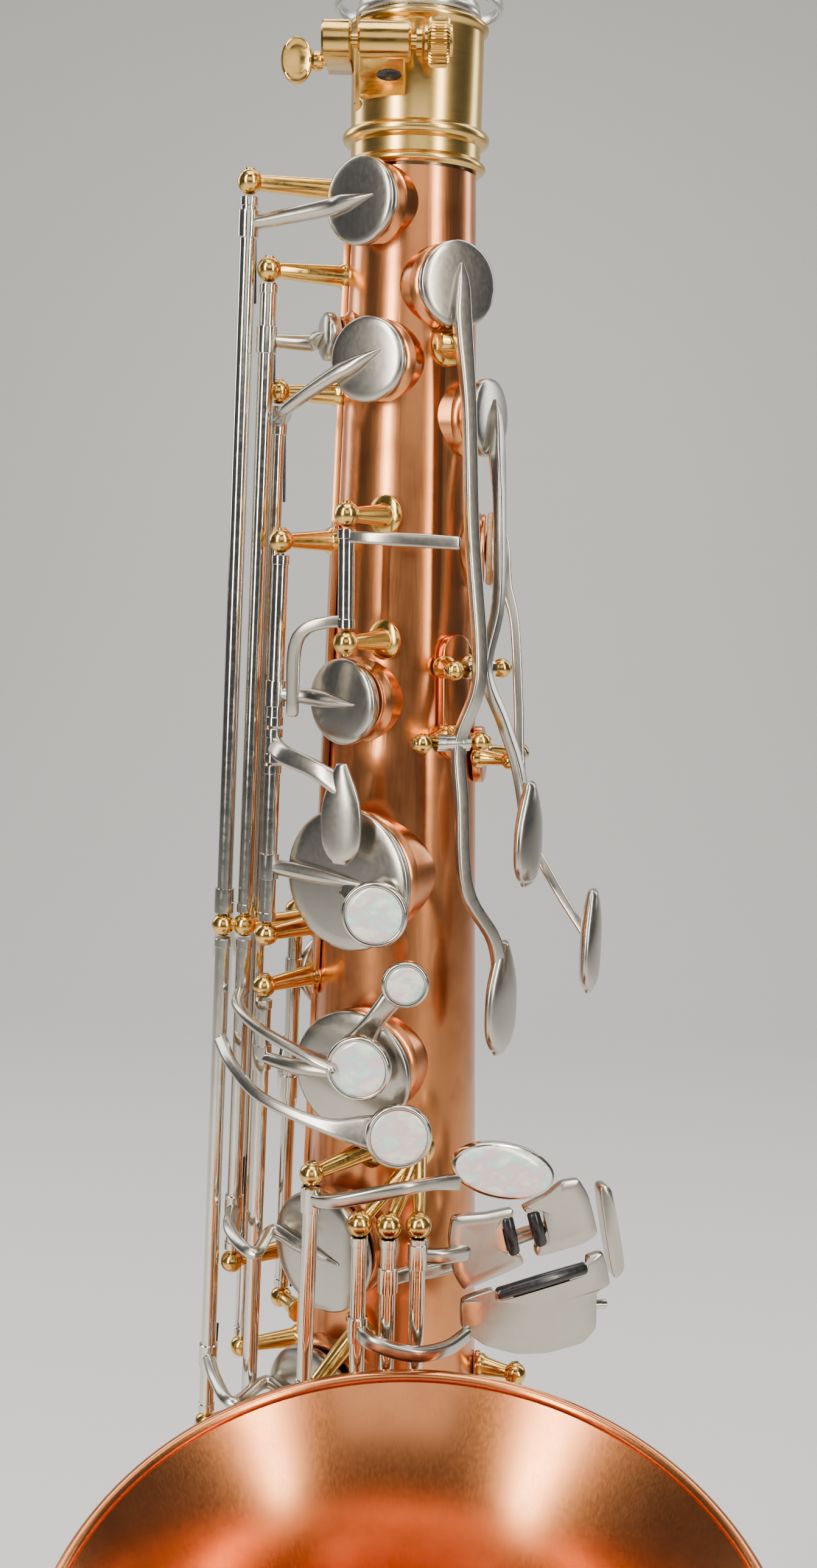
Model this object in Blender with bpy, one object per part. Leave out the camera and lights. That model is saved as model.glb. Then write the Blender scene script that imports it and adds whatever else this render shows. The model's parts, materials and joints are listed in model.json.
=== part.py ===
"""Tenor saxophone: a conical body tube, bow and flared bell, a removable neck, and the sprung keys on their posts.

Everything is laid out in millimetres and turned into metres when a mesh is made. Heights along the body are
given as depths below the bead ring of the neck receiver. Angles go round the body tube: 0 is the front, where
the bell stands, positive is the player's left hand side (+X) and negative the player's right (-X).
The part's origin is the strap ring on the back of the body tube; +Z runs up along the tube.
"""

import math

import bpy
from mathutils import Matrix, Quaternion, Vector

MM = 0.001
GAP = 0.35  # clearance between any two separate pieces
CORE_SPARE = 4.0  # how far a core stands out of the tube it hollows

# Driving dimensions of the body
STRAP_DEPTH = 258.0  # the strap ring, below the receiver's bead
TUBE_TOP_R = 14.1  # outer radius of the body tube at the bead
TUBE_TAPER = 0.0292  # growth of that radius for each millimetre of depth
TUBE_TOP, TUBE_END = 8.0, 566.0
WALL = 0.8
BOW_R = 44.0  # centre line of the U-bend
BOW_END_R = 36.5
BELL_RIM = Vector((8.0, -114.0, -306.0))
BELL_R = 74.5
BELL_TILT = math.radians(14)
BELL_FOOT_DEPTH = TUBE_END

# Keywork
ROD_R = 1.9  # hinge tubes
POST_BALL_R = 2.9
CHIMNEY = 2.2  # height of a tone hole's rim above the tube
PAD_AND_CUP = 4.2  # height of a pad cup with its pad
PEARL_R = 7.8

ACROSS = Vector((1, 0, 0))
STRAP_STANDOFF = 8.0  # from the tube's back to the eye of the strap ring
AXIS_Y = -(TUBE_TOP_R + TUBE_TAPER * STRAP_DEPTH + STRAP_STANDOFF)  # the tube's axis, seen from the ring


def tube_r(depth):
    return TUBE_TOP_R + TUBE_TAPER * depth


def at(angle, reach, depth):
    """A point at an angle round the body tube, a reach from its axis and a depth below the bead."""
    a = math.radians(angle)
    return Vector((reach * math.sin(a), -reach * math.cos(a), -depth))


def outward(angle):
    return at(angle, 1, 0)


def on_tube(angle, standoff, depth):
    return at(angle, tube_r(depth) + standoff, depth)


# ---------------------------------------------------------------- mesh building


def new_mesh(name, verts, faces):
    mesh = bpy.data.meshes.new(name)
    mesh.from_pydata([tuple(v) for v in verts], [], faces)
    mesh.validate()
    return mesh


def frames_along(points, up, tangents=None):
    """Point, tangent, side and normal along a path; the normal starts near `up` and is carried along."""
    frames = []
    normal = None
    last = len(points) - 1
    for i, point in enumerate(points):
        if tangents:
            tangent = tangents[i].normalized()
        else:
            tangent = (points[min(i + 1, last)] - points[max(i - 1, 0)]).normalized()
        guide = up if normal is None else normal
        normal = guide - tangent * guide.dot(tangent)
        if normal.length < 1e-6:
            normal = tangent.orthogonal()
        normal.normalize()
        frames.append((point, tangent, normal.cross(tangent), normal))
    return frames


def skin(frames, widths, thicks, sides):
    """A closed bar through the given frames, elliptical in section."""
    verts, faces = [], []
    for (point, _, side, normal), w, t in zip(frames, widths, thicks):
        for k in range(sides):
            a = 2 * math.pi * (k + 0.5) / sides
            verts.append(point + side * (w * math.cos(a)) + normal * (t * math.sin(a)))
    rings = len(frames)
    for i in range(rings - 1):
        for k in range(sides):
            n = (k + 1) % sides
            faces.append((i * sides + k, i * sides + n, (i + 1) * sides + n, (i + 1) * sides + k))
    faces.append(tuple(reversed(range(sides))))
    faces.append(tuple((rings - 1) * sides + k for k in range(sides)))
    return verts, faces


def sweep(points, half_w, half_t=None, sides=6, up=Vector((0, 0, 1))):
    """A closed bar of elliptical section along a path. Half width and thickness are numbers or one per point."""
    half_t = half_w if half_t is None else half_t
    widths = half_w if isinstance(half_w, (list, tuple)) else [half_w] * len(points)
    thicks = half_t if isinstance(half_t, (list, tuple)) else [half_t] * len(points)
    return skin(frames_along(points, up), widths, thicks, sides)


def strap(points, half_w, half_t, up=Vector((0, 0, 1))):
    """A flat bar of rectangular section along a path."""
    corner = math.sqrt(2)
    return sweep(points, half_w * corner, half_t * corner, 4, up)


def outside_and_core(points, radii, sides, up, wall=WALL, tangents=None):
    """The outer solid of a hollow run of tube, and the core to take from it, which stands out at both ends."""
    frames = frames_along(points, up, tangents)
    inner = [r - wall for r in radii]
    point, tangent, side, normal = frames[0]
    before = (point - tangent * CORE_SPARE, tangent, side, normal)
    point, tangent, side, normal = frames[-1]
    after = (point + tangent * CORE_SPARE, tangent, side, normal)
    radii_in = [inner[0], *inner, inner[-1]]
    return skin(frames, radii, radii, sides), skin([before, *frames, after], radii_in, radii_in, sides)


def pipe(points, outer, inner, sides, up=Vector((0, 1, 0))):
    """An open-ended pipe along a path, with one outer and one inner radius for each point."""
    verts, faces = [], []
    frames = frames_along(points, up)
    for radii in (outer, inner):
        for (point, _, side, normal), r in zip(frames, radii):
            for k in range(sides):
                a = 2 * math.pi * k / sides
                verts.append(point + side * (r * math.cos(a)) + normal * (r * math.sin(a)))
    rings = len(points)
    base = rings * sides
    for i in range(rings - 1):
        for k in range(sides):
            n = (k + 1) % sides
            a, b, c, d = i * sides + k, i * sides + n, (i + 1) * sides + n, (i + 1) * sides + k
            faces.append((a, b, c, d))
            faces.append((base + d, base + c, base + b, base + a))
    for k in range(sides):
        n = (k + 1) % sides
        last = (rings - 1) * sides
        faces.append((k, base + k, base + n, n))
        faces.append((last + n, base + last + n, base + last + k, last + k))
    return verts, faces


def turned(profile, base, direction, sides=16):
    """A solid turned about a line. The profile runs from the axis out and back to the axis: (radius, height)."""
    turn = Vector((0, 0, 1)).rotation_difference(direction)
    verts, faces, rows = [], [], []
    for r, h in profile:
        row = []
        for k in range(sides if r > 1e-6 else 1):
            a = 2 * math.pi * k / sides
            row.append(len(verts))
            verts.append(base + turn @ Vector((r * math.cos(a), r * math.sin(a), h)))
        rows.append(row)
    for low, high in zip(rows, rows[1:]):
        for k in range(sides):
            a, b = low[k % len(low)], low[(k + 1) % len(low)]
            c, d = high[(k + 1) % len(high)], high[k % len(high)]
            face = []
            for v in (a, b, c, d):
                if v not in face:
                    face.append(v)
            if len(face) > 2:
                faces.append(tuple(face))
    return verts, faces


def rod(start, end, radius=ROD_R, sides=8):
    return turned([(0, 0), (radius, 0), (radius, (end - start).length), (0, (end - start).length)],
                  start, (end - start).normalized(), sides)


def ball(centre, radius, sides=6):
    rings = 3
    arc = [(radius * math.sin(math.pi * i / rings), -radius * math.cos(math.pi * i / rings))
           for i in range(rings + 1)]
    arc[0], arc[-1] = (0, -radius), (0, radius)
    return turned(arc, centre, Vector((0, 0, 1)), sides)


def slab(outline, thickness, origin, right, face):
    """An outline in a plane, made into a plate. `right` is the outline's x, `face` the plate's outer side."""
    face = face.normalized()
    right = (right - face * right.dot(face)).normalized()
    high = face.cross(right)
    count = len(outline)
    verts = [origin + right * x + high * y for x, y in outline]
    verts += [v + face * thickness for v in verts]
    faces = [tuple(reversed(range(count))), tuple(range(count, 2 * count))]
    for k in range(count):
        n = (k + 1) % count
        faces.append((k, n, count + n, count + k))
    return verts, faces


def ring(centre, direction, radius, thick, height, sides=24):
    """A flat band round a line, square in section."""
    direction = direction.normalized()
    path = [centre - direction * (height / 2), centre + direction * (height / 2)]
    return pipe(path, [radius + thick] * 2, [radius] * 2, sides, up=direction.orthogonal())


def smooth(points, steps=2):
    """A curve through the given points, with `steps` stretches between neighbours."""
    ends = [2 * points[0] - points[1]] + list(points) + [2 * points[-1] - points[-2]]
    curve = []
    for i in range(1, len(ends) - 2):
        p0, p1, p2, p3 = ends[i - 1:i + 3]
        for s in range(steps):
            t = s / steps
            curve.append(0.5 * (2 * p1 + (p2 - p0) * t + (2 * p0 - 5 * p1 + 4 * p2 - p3) * t * t
                                + (3 * p1 - p0 - 3 * p2 + p3) * t ** 3))
    return curve + [points[-1]]


def turned_about(piece, pivot, axis, degrees):
    """The piece turned about a line."""
    turn = Quaternion(axis, math.radians(degrees))
    return [pivot + turn @ (v - pivot) for v in piece[0]], piece[1]


MATERIALS = {}


def material(name, colour, roughness, metallic):
    if name not in MATERIALS:
        mat = bpy.data.materials.new(name)
        mat.use_nodes = True
        shader = mat.node_tree.nodes["Principled BSDF"]
        shader.inputs["Base Color"].default_value = (*colour, 1)
        shader.inputs["Roughness"].default_value = roughness
        shader.inputs["Metallic"].default_value = metallic
        MATERIALS[name] = mat
    return MATERIALS[name]


def copper():
    return material("copper", (0.62, 0.30, 0.18), 0.32, 1.0)


def brass():
    return material("brass", (0.72, 0.50, 0.20), 0.25, 1.0)


def nickel():
    return material("nickel", (0.66, 0.63, 0.58), 0.22, 1.0)


def silver():
    return material("silver", (0.74, 0.73, 0.70), 0.3, 1.0)


def cork():
    return material("cork", (0.45, 0.28, 0.14), 0.9, 0.0)


def combined(name, pieces, operation="UNION"):
    """One mesh object: the first piece with all the others joined to it, or taken from it."""
    first, *others = [bpy.data.objects.new(name, new_mesh(name, *piece)) for piece in pieces]
    bpy.context.collection.objects.link(first)
    if not others:
        return first
    tools = bpy.data.collections.new("tools")
    bpy.context.scene.collection.children.link(tools)
    for other in others:
        tools.objects.link(other)
    cut = first.modifiers.new("join", "BOOLEAN")
    cut.operation = operation
    cut.operand_type = "COLLECTION"
    cut.collection = tools
    cut.solver = "EXACT"
    result = bpy.data.meshes.new_from_object(first.evaluated_get(bpy.context.evaluated_depsgraph_get()))
    first.modifiers.clear()
    first.data = result
    for other in others:
        bpy.data.objects.remove(other)
    bpy.data.collections.remove(tools)
    return first


def as_piece(obj):
    """The vertices and faces of an object, which it removes."""
    piece = [v.co.copy() for v in obj.data.vertices], [tuple(p.vertices) for p in obj.data.polygons]
    bpy.data.objects.remove(obj)
    return piece


def node(name, pieces, mat, pivot=Vector((0, 0, 0)), holes=()):
    """A finished sub-part: pieces joined into one solid, in metres, with its origin on its pivot."""
    obj = combined(name, pieces)
    if holes:
        obj = combined(name, [as_piece(obj), *holes], "DIFFERENCE")
        obj.name = name
    shift = Vector((0, AXIS_Y, STRAP_DEPTH))
    obj.data.transform(Matrix.Scale(MM, 4) @ Matrix.Translation(-pivot))
    obj.location = (pivot + shift) * MM
    obj.data.materials.clear()
    obj.data.materials.append(mat)
    obj.data.shade_smooth()
    obj.data.set_sharp_from_angle(angle=math.radians(40))
    obj.name = name
    return obj


# ---------------------------------------------------------------- tone holes

# name: (angle, depth, hole radius, cup radius)
HOLES = {
    "high_e": (-37, 16.4, 6.9, 9.8),
    "palm_f": (31, 34.5, 7.2, 9.8),
    "high_fs": (-72, 45.5, 3.9, 5.6),
    "side_c": (-27, 51.5, 7.2, 9.6),
    "palm_eb": (62, 63.5, 6.8, 9.0),
    "palm_d": (88, 94, 7.4, 9.6),
    "c_vent": (-35, 130, 7.8, 10.2),
    "b": (-27.0, 172, 13.0, 17.2),
    "side_bb": (-134, 205, 8.0, 10.4),
    "bis": (-20, 218.8, 11.6, 15.2),
    "a": (-34, 265.5, 11.6, 15.2),
    "gs": (42, 322, 9.6, 11.8),
    "g": (-38, 306, 12.0, 14.6),
    "fs": (-38, 346, 12.6, 15.2),
    "f": (-40, 388, 13.2, 16.0),
    "e": (-38, 431, 13.8, 16.6),
    "d": (-38, 475, 14.2, 17.2),
    "low_eb": (-100, 515, 13.5, 16.4),
    "low_cs": (72, 500, 13.5, 16.4),
}


def cup_pieces(base, direction, radius, height=PAD_AND_CUP):
    """A pad cup: pad face down at `base`, domed back towards `direction`."""
    profile = [(0, 0), (radius - 0.6, 0), (radius, 0.9), (radius, height - 1.1), (radius - 1.2, height), (0, height)]
    return turned(profile, base, direction, 10)


def pearl_touch(centre, direction, radius=PEARL_R):
    """A round finger touch: the metal dish with its pearl, `centre` being the middle of its underside."""
    profile = [(0, 0), (radius - 1.0, 0), (radius, 1.0), (radius, 2.7), (radius - 1.6, 3.5), (0, 3.8)]
    return turned(profile, centre, direction, 10)


# ---------------------------------------------------------------- body


HOLE_SIDES = 10


def body_tube():
    run = [Vector((0, 0, -d)) for d in (TUBE_TOP, TUBE_END)]
    outer, core = outside_and_core(run, [tube_r(TUBE_TOP), tube_r(TUBE_END)], 20, Vector((0, 1, 0)))
    solids, bores = [outer], [core]
    for angle, depth, hole_r, _ in HOLES.values():
        start = at(angle, tube_r(depth) * 0.35, depth)
        solids.append(rod(start, on_tube(angle, CHIMNEY, depth), hole_r + WALL, HOLE_SIDES))
        bores.append(rod(at(angle, 2, depth), on_tube(angle, CHIMNEY + 3, depth), hole_r, HOLE_SIDES))
    pip = on_tube(180, -1.5, 74)
    solids.append(rod(pip, pip + outward(180) * 5, 2.6))
    bores.append(rod(at(180, 2, 74), pip + outward(180) * 8, 1.1))
    node("body_tube", solids, copper(), holes=[as_piece(combined("core", bores))])


def bow_path(steps=8):
    """The U-bend's centre line, from the foot of the body tube round to the foot of the bell."""
    points = []
    for i in range(steps + 1):
        a = math.pi * i / steps
        points.append(Vector((0, -BOW_R + BOW_R * math.cos(a), -TUBE_END - 3 - BOW_R * math.sin(a))))
    return points


BOW_HOLE = (118, 15.0, 18.0)  # the low C hole: degrees round the bend, hole radius, cup radius


def bow_r(share):
    start = tube_r(TUBE_END)
    return start + (BOW_END_R - start) * share


def bow_spot(degrees, reach, side=Vector((-1, 0, 0))):
    """A point beside the bend's centre line."""
    a = math.radians(degrees)
    centre = Vector((0, -BOW_R + BOW_R * math.cos(a), -TUBE_END - 3 - BOW_R * math.sin(a)))
    return centre + side * reach


def bow():
    points = bow_path()
    radii = [bow_r(i / (len(points) - 1)) for i in range(len(points))]
    turn = [math.pi * i / (len(points) - 1) for i in range(len(points))]
    tangents = [Vector((0, -math.sin(a), -math.cos(a))) for a in turn]
    outer, core = outside_and_core(points, radii, 20, ACROSS, tangents=tangents)
    degrees, hole_r, _ = BOW_HOLE
    reach = bow_r(degrees / 180)
    stub = rod(bow_spot(degrees, reach * 0.4), bow_spot(degrees, reach + CHIMNEY), hole_r + WALL, HOLE_SIDES)
    bore = rod(bow_spot(degrees, 2), bow_spot(degrees, reach + CHIMNEY + 3), hole_r, HOLE_SIDES)
    node("bow", [outer, stub], copper(), holes=[as_piece(combined("core", [core, bore]))])


BELL_STEPS = 9
BELL_HOLES = {"low_b": (0.38, 16.0, 19.4), "low_bb": (0.66, 17.0, 20.6)}  # share of the bell's length, radii
BELL_SIDE = Vector((-0.61, 0.79, 0)).normalized()  # they face back and to the player's right, square to their rods


def bell_centre(share):
    """The bell's centre line: straight up from the bow, leaning forward towards the rim."""
    foot = Vector((0, -2 * BOW_R, -BELL_FOOT_DEPTH))
    lean = share ** 1.6
    return Vector((foot.x + (BELL_RIM.x - foot.x) * lean, foot.y + (BELL_RIM.y - foot.y) * lean,
                   foot.z + (BELL_RIM.z - foot.z) * share))


def bell_r(share):
    """The bell's outer radius: a slow cone that flares close to the rim."""
    cone = BOW_END_R + 12.5 * share
    return cone + (BELL_R - BOW_END_R - 12.5) * share ** 9


def bell():
    shares = [1 - (1 - i / BELL_STEPS) ** 1.5 for i in range(BELL_STEPS + 1)]
    centres = [bell_centre(s) for s in shares]
    tilt = Vector((0, -math.sin(BELL_TILT), math.cos(BELL_TILT)))
    centres.append(BELL_RIM + tilt * 1.6)
    radii = [bell_r(s) for s in shares] + [BELL_R]
    leans = [BELL_TILT * s ** 2 for s in [*shares, 1.0]]
    tangents = [Vector((0, -math.sin(a), math.cos(a))) for a in leans]
    outer, core = outside_and_core(centres, radii, 24, ACROSS, tangents=tangents)
    stubs, bores = [], []
    for share, hole_r, _ in BELL_HOLES.values():
        centre, reach = bell_centre(share), bell_r(share)
        out = BELL_SIDE
        stubs.append(rod(centre + out * reach * 0.5, centre + out * (reach + CHIMNEY), hole_r + WALL, HOLE_SIDES))
        bores.append(rod(centre + out * 2, centre + out * (reach + CHIMNEY + 3), hole_r, HOLE_SIDES))
    node("bell", [outer, *stubs], copper(), holes=[as_piece(combined("core", [core, *bores]))])


def ferrule(name, centre, radius):
    node(name, [ring(centre, Vector((0, 0, 1)), radius + 2 * GAP, 1.4, 6.5, 32)], brass())


def ferrules():
    ferrule("upper_bow_ferrule", Vector((0, 0, -TUBE_END - 0.8)), tube_r(TUBE_END))
    ferrule("lower_bow_ferrule", Vector((0, -2 * BOW_R, -TUBE_END - 0.8)), BOW_END_R)


def bar(start, end, width, thick, face):
    """A straight flat strip whose inner face runs from start to end and whose outer side looks towards `face`."""
    along = end - start
    face = (face - along * (face.dot(along) / along.length_squared)).normalized()
    side = along.normalized().cross(face)
    half = width / 2
    outline = [(-half, 0), (half, 0), (half, along.length), (-half, along.length)]
    return slab(outline, thick, start, side, face)


def bell_brace():
    depth, x = 404.0, 17.5
    tube = tube_r(depth)
    foot_r = 2.6
    back = -math.sqrt(tube * tube - (x - foot_r) ** 2) - GAP
    share = (BELL_FOOT_DEPTH - depth) / (BELL_FOOT_DEPTH + BELL_RIM.z)
    centre, reach = bell_centre(share), bell_r(share)
    front = centre.y + math.sqrt(reach * reach - (x - foot_r - centre.x) ** 2) + GAP
    middle, radius = (back + front) / 2, (back - front) / 2
    hoop = ring(Vector((x, middle, -depth)), Vector((1, 0, 0)), radius - 3.2, 2.4, 4.5, 20)
    feet = [rod(Vector((x, back - 1.8, -depth)), Vector((x, back - 0.1, -depth)), foot_r),
            rod(Vector((x, front + 1.8, -depth)), Vector((x, front + 0.1, -depth)), foot_r)]
    node("bell_brace", [hoop, *feet], brass())


def strap_ring():
    eye = on_tube(180, STRAP_STANDOFF, STRAP_DEPTH)
    hoop = ring(eye, Vector((1, 0, 0)), 4.4, 2.0, 3.2, 24)
    plate = bar(on_tube(180, GAP, STRAP_DEPTH - 9), on_tube(180, GAP, STRAP_DEPTH + 9), 8, 1.8, outward(180))
    node("strap_ring", [plate, hoop], brass())


def thumb_rest():
    base = on_tube(172, GAP, 229.5)
    profile = [(0, 0), (7.2, 0), (8.0, 0.8), (8.0, 3.4), (6.4, 4.8), (3.4, 5.4), (0, 5.6)]
    node("thumb_rest", [turned(profile, base, outward(172), 20)], brass())


def thumb_hook():
    angle, depth = 186, 336
    plate = bar(on_tube(angle, GAP, depth - 12), on_tube(angle, GAP, depth + 12), 12, 1.8, outward(angle))
    curve = smooth([on_tube(angle, 1.4, depth - 2), on_tube(angle, 8, depth - 4),
                    on_tube(angle, 17, depth - 1), on_tube(angle, 22, depth + 7), on_tube(angle, 23, depth + 17)])
    hook = strap(curve, 5.0, 1.2)
    node("thumb_hook", [plate, hook], brass())


# ---------------------------------------------------------------- neck and its receiver

RECEIVER_R, RECEIVER_TOP, RECEIVER_FOOT = 15.5, 26.0, 7.5
TENON_R = 12.8
CLAMP = Vector((0, -21.4, 16.2))  # a point on the clamp screw's line, which runs along X
LYRE = Vector((0, -13.0, 14.0))  # the same for the lyre screw
SCREW_R = 1.5


def along_x(point, x):
    return Vector((x, point.y, point.z))


def receiver():
    profile = [(0, -RECEIVER_FOOT), (RECEIVER_R + 0.6, -RECEIVER_FOOT), (RECEIVER_R + 0.6, -5.0), (RECEIVER_R, -4.6),
               (RECEIVER_R, -1.6), (RECEIVER_R + 1.4, -0.9), (RECEIVER_R + 1.4, 0.9), (RECEIVER_R, 1.6),
               (RECEIVER_R, RECEIVER_TOP), (0, RECEIVER_TOP)]
    shell = turned(profile, Vector((0, 0, 0)), Vector((0, 0, 1)), 28)
    barrel = rod(along_x(CLAMP, -20.8), along_x(CLAMP, -1.2), 4.2, 14)
    lugs = [box((-20.6, -21.4, 12.2), (-14.2, -2.0, 19.8)), box((-12.9, -21.4, 12.4), (-2.0, -8.0, 19.8))]
    wedge = [(-15.6, 6.6), (-10.4, 6.6), (-10.4, 15.6), (-24.0, 15.6), (-24.0, 13.0)]
    socket = slab(wedge, 10.4, Vector((-12.8, 0, 0)), Vector((0, 1, 0)), ACROSS)
    bore = rod(Vector((0, 0, -RECEIVER_FOOT - 2)), Vector((0, 0, 30)), TENON_R + GAP, 28)
    slot = box((-14.1, -26, 4.4), (-13.0, -5, 30))
    screw_hole = rod(along_x(CLAMP, -19.2), along_x(CLAMP, 2), SCREW_R + GAP, 12)
    lyre_hole = rod(along_x(LYRE, -24), along_x(LYRE, -16.5), 1.2 + GAP, 12)
    lyre_socket = box((-7.6, -20.4, 5.4), (-4.0, -17.6, 14.4))
    node("neck_receiver", [shell, barrel, *lugs, socket], brass(),
         holes=[bore, slot, screw_hole, lyre_hole, lyre_socket])


def box(low, high):
    outline = [(low[0], low[1]), (high[0], low[1]), (high[0], high[1]), (low[0], high[1])]
    return slab(outline, high[2] - low[2], Vector((0, 0, low[2])), Vector((1, 0, 0)), Vector((0, 0, 1)))


def screws():
    shaft = rod(along_x(CLAMP, -18.4), along_x(CLAMP, 1.0), SCREW_R, 12)
    knob = turned([(0, 0), (2.6, 0), (2.6, 1.4), (4.6, 1.7), (5.2, 2.4), (5.2, 6.4), (4.6, 7.2), (0, 7.6)],
                  along_x(CLAMP, 0.3), ACROSS, 20)
    node("neck_clamp_screw", [shaft, knob], brass(), pivot=CLAMP)
    shaft = rod(along_x(LYRE, -24.2), along_x(LYRE, -17.2), 1.2, 12)
    neck = rod(along_x(LYRE, -23.9), along_x(LYRE, -21.1), 2.1, 12)
    wing = slab([(3.9 * math.cos(a), 5.2 * math.sin(a)) for a in (math.pi * k / 8 for k in range(16))], 1.8,
                along_x(LYRE, -27.2) + Vector((0, 0.9, 0)), ACROSS, Vector((0, -1, 0)))
    node("lyre_screw", [shaft, neck, wing], brass(), pivot=LYRE)


NECK_ROUTE = [(0, -14), (0, 26), (1, 52), (10, 82), (36, 108), (76, 121), (118, 119), (158, 106), (192, 93)]
CORK_SHARE = 0.78  # the cork covers the neck beyond this share of its length


def neck_line():
    return smooth([Vector((0, y, z)) for y, z in NECK_ROUTE], 2)


def neck_r(share):
    return 12.4 - 5.6 * share


def neck():
    points = neck_line()
    last = len(points) - 1
    outer = [TENON_R if p.z < 20 and p.y < 1 else neck_r(i / last) for i, p in enumerate(points)]
    collar = turned([(0, 0), (14.4, 0), (14.4, 4.0), (13.4, 5.0), (0, 5.4)], Vector((0, 0, 26.4)),
                    Vector((0, 0, 1)), 24)
    shell, core = outside_and_core(points, outer, 12, ACROSS, wall=1.0)
    node("neck_tube", [shell, collar], silver(), holes=[core])
    start = int(CORK_SHARE * last)
    corked = points[start:last]
    node("neck_cork", [pipe(corked, [8.6] * len(corked), [outer[start + i] + GAP for i in range(len(corked))], 16)],
         cork())


NECK_HINGE = Vector((0, -16.2, 60.0))
LOOP_R = 19.4
LOOP_Z = 29.6


def neck_octave_key():
    loop = ring(Vector((0, 0, LOOP_Z)), Vector((0, 0, 1)), LOOP_R - 1.4, 1.6, 3.0, 20)
    route = smooth([Vector((0, y, z)) for y, z in
                    ((-19.0, LOOP_Z), (-18.5, 44), (-16.6, 60), (-11.0, 80), (4, 104), (30, 125.5), (52, 134.5))])
    arm = strap(route, 2.4, 1.0, up=Vector((0, -1, 0.4)))
    tube = rod(NECK_HINGE - ACROSS * 4.5, NECK_HINGE + ACROSS * 4.5, 1.8)
    pad = cup_pieces(Vector((0, 51.5, 129.2)), Vector((0, -0.28, 1)).normalized(), 5.4, 4.6)
    node("neck_octave_key", [loop, arm, tube, pad], silver(), pivot=NECK_HINGE)


def neck_saddle():
    """The saddle soldered to the neck, which the octave key turns in."""
    foot = Vector((0, -12.9, 60.5))
    plate = slab([(-7.5, -3.5), (7.5, -3.5), (7.5, 3.5), (-7.5, 3.5)], 1.2, foot, ACROSS, Vector((0, -1, 0.1)))
    posts = []
    for x in (-6.6, 6.6):
        head = along_x(NECK_HINGE, x)
        posts += [rod(Vector((x, -13.2, 60.5)), head, 1.3), ball(head, 1.7)]
    node("neck_octave_saddle", [plate, *posts], silver())


# ---------------------------------------------------------------- posts

# Hinge lines beside the body: (angle, distance from the tube's surface)
LINES = {
    "side_high": (-81, 24.2),  # high E
    "outer": (-80, 19.0),  # high F sharp above, A below
    "under": (-88, 15.7),  # side C
    "back": (-112, 9.0),  # side B flat
    "stack": (-64.4, 15.6),  # both main stacks
}
BELL_LINE_REACH = 38.3  # the three bell-key rods run parallel to the tube's axis
BELL_LINES = {"low_bb": -10.2, "low_b": 0.3, "low_cs": 10.8}


def on_line(line, depth):
    angle, standoff = LINES[line]
    return on_tube(angle, standoff, depth)


def on_bell_line(name, depth):
    return at(BELL_LINES[name], BELL_LINE_REACH, depth)


def post(foot, head, ball_r=POST_BALL_R, shank=1.3):
    return [sweep([foot, head], [shank * 1.2, shank]), ball(head, ball_r)]


def rib(name, angle, top, bottom, heads, width=5.0, twins=()):
    """A strip soldered along the tube, with a ball post for each (head, depth of its foot).

    A twin is a second ball further out on a post that is already there: (its head, the new head).
    """
    pieces = [bar(on_tube(angle, GAP, top), on_tube(angle, GAP, bottom), width, 1.4, outward(angle))]
    for head, depth in heads:
        pieces += post(on_tube(angle, 1.5, depth), head)
    for head, further in twins:
        pieces += post(head, further, shank=1.6)
    node(name, pieces, brass())


SIDE_POSTS = (("side_high", 11), ("outer", 30.5), ("under", 58), ("outer", 188), ("outer", 277), ("under", 303.5),
              ("side_high", 322), ("back", 188), ("back", 296))
STACK_POSTS_UPPER = (93, 188, 201)
STACK_POSTS_LOWER = (315.5, 444, 495)


def ribs():
    rib("side_key_rib", -100, 11, 330, [(on_line(line, d), d) for line, d in SIDE_POSTS], 4.0,
        [(on_line("outer", 188), on_line("side_high", 188))])
    rib("upper_stack_rib", -79, 88, 206, [(on_line("stack", d), d) for d in STACK_POSTS_UPPER])
    rib("lower_stack_rib", -79, 310, 499, [(on_line("stack", d), d) for d in STACK_POSTS_LOWER])


def bell_key_post():
    """The triple post in front of the body."""
    depth = 252
    foot = on_tube(17, GAP, depth - 12)
    pieces = [turned([(0, 0), (4.2, 0), (4.2, 1.4), (0, 1.8)], foot, outward(17), 12)]
    for line in BELL_LINES:
        head = on_bell_line(line, depth)
        pieces += [sweep([foot + outward(17) * 1.6, head], [2.0, 1.3]), ball(head, 3.1)]
    node("bell_key_upper_post", pieces, brass())


FRONT_F_LINE = (Vector((-13.2, -28.2, -86.5)), Vector((-12.9, -28.6, -115.5)))  # between its two posts


def front_f_posts():
    for name, head, angle in (("front_f_upper_post", FRONT_F_LINE[0], -16),
                              ("front_f_lower_post", FRONT_F_LINE[1], -14)):
        foot = on_tube(angle, GAP, -head.z)
        pieces = [turned([(0, 0), (4.4, 0), (4.4, 1.2), (0, 1.6)], foot, outward(angle), 12)]
        pieces += post(foot + outward(angle) * 1.0, head)
        node(name, pieces, brass())


# Palm keys: hinge (angle, reach, depth) on a line round the tube, and half the hinge tube's length
PALM_HINGES = {"palm_f": (23.5, 30.0, 138), "palm_eb": (40, 27.6, 121.5), "palm_d": (78, 28.6, 144)}
PALM_RIBS = {"palm_key_rib": (41, 114, 144, 9, ("palm_f", "palm_eb")), "palm_d_rib": (78, 137, 151, 9, ("palm_d",))}
PALM_HALF = 4.2


def palm_hinge(name):
    angle, reach, depth = PALM_HINGES[name]
    a = math.radians(angle)
    return at(angle, reach, depth), Vector((math.cos(a), math.sin(a), 0))


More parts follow.
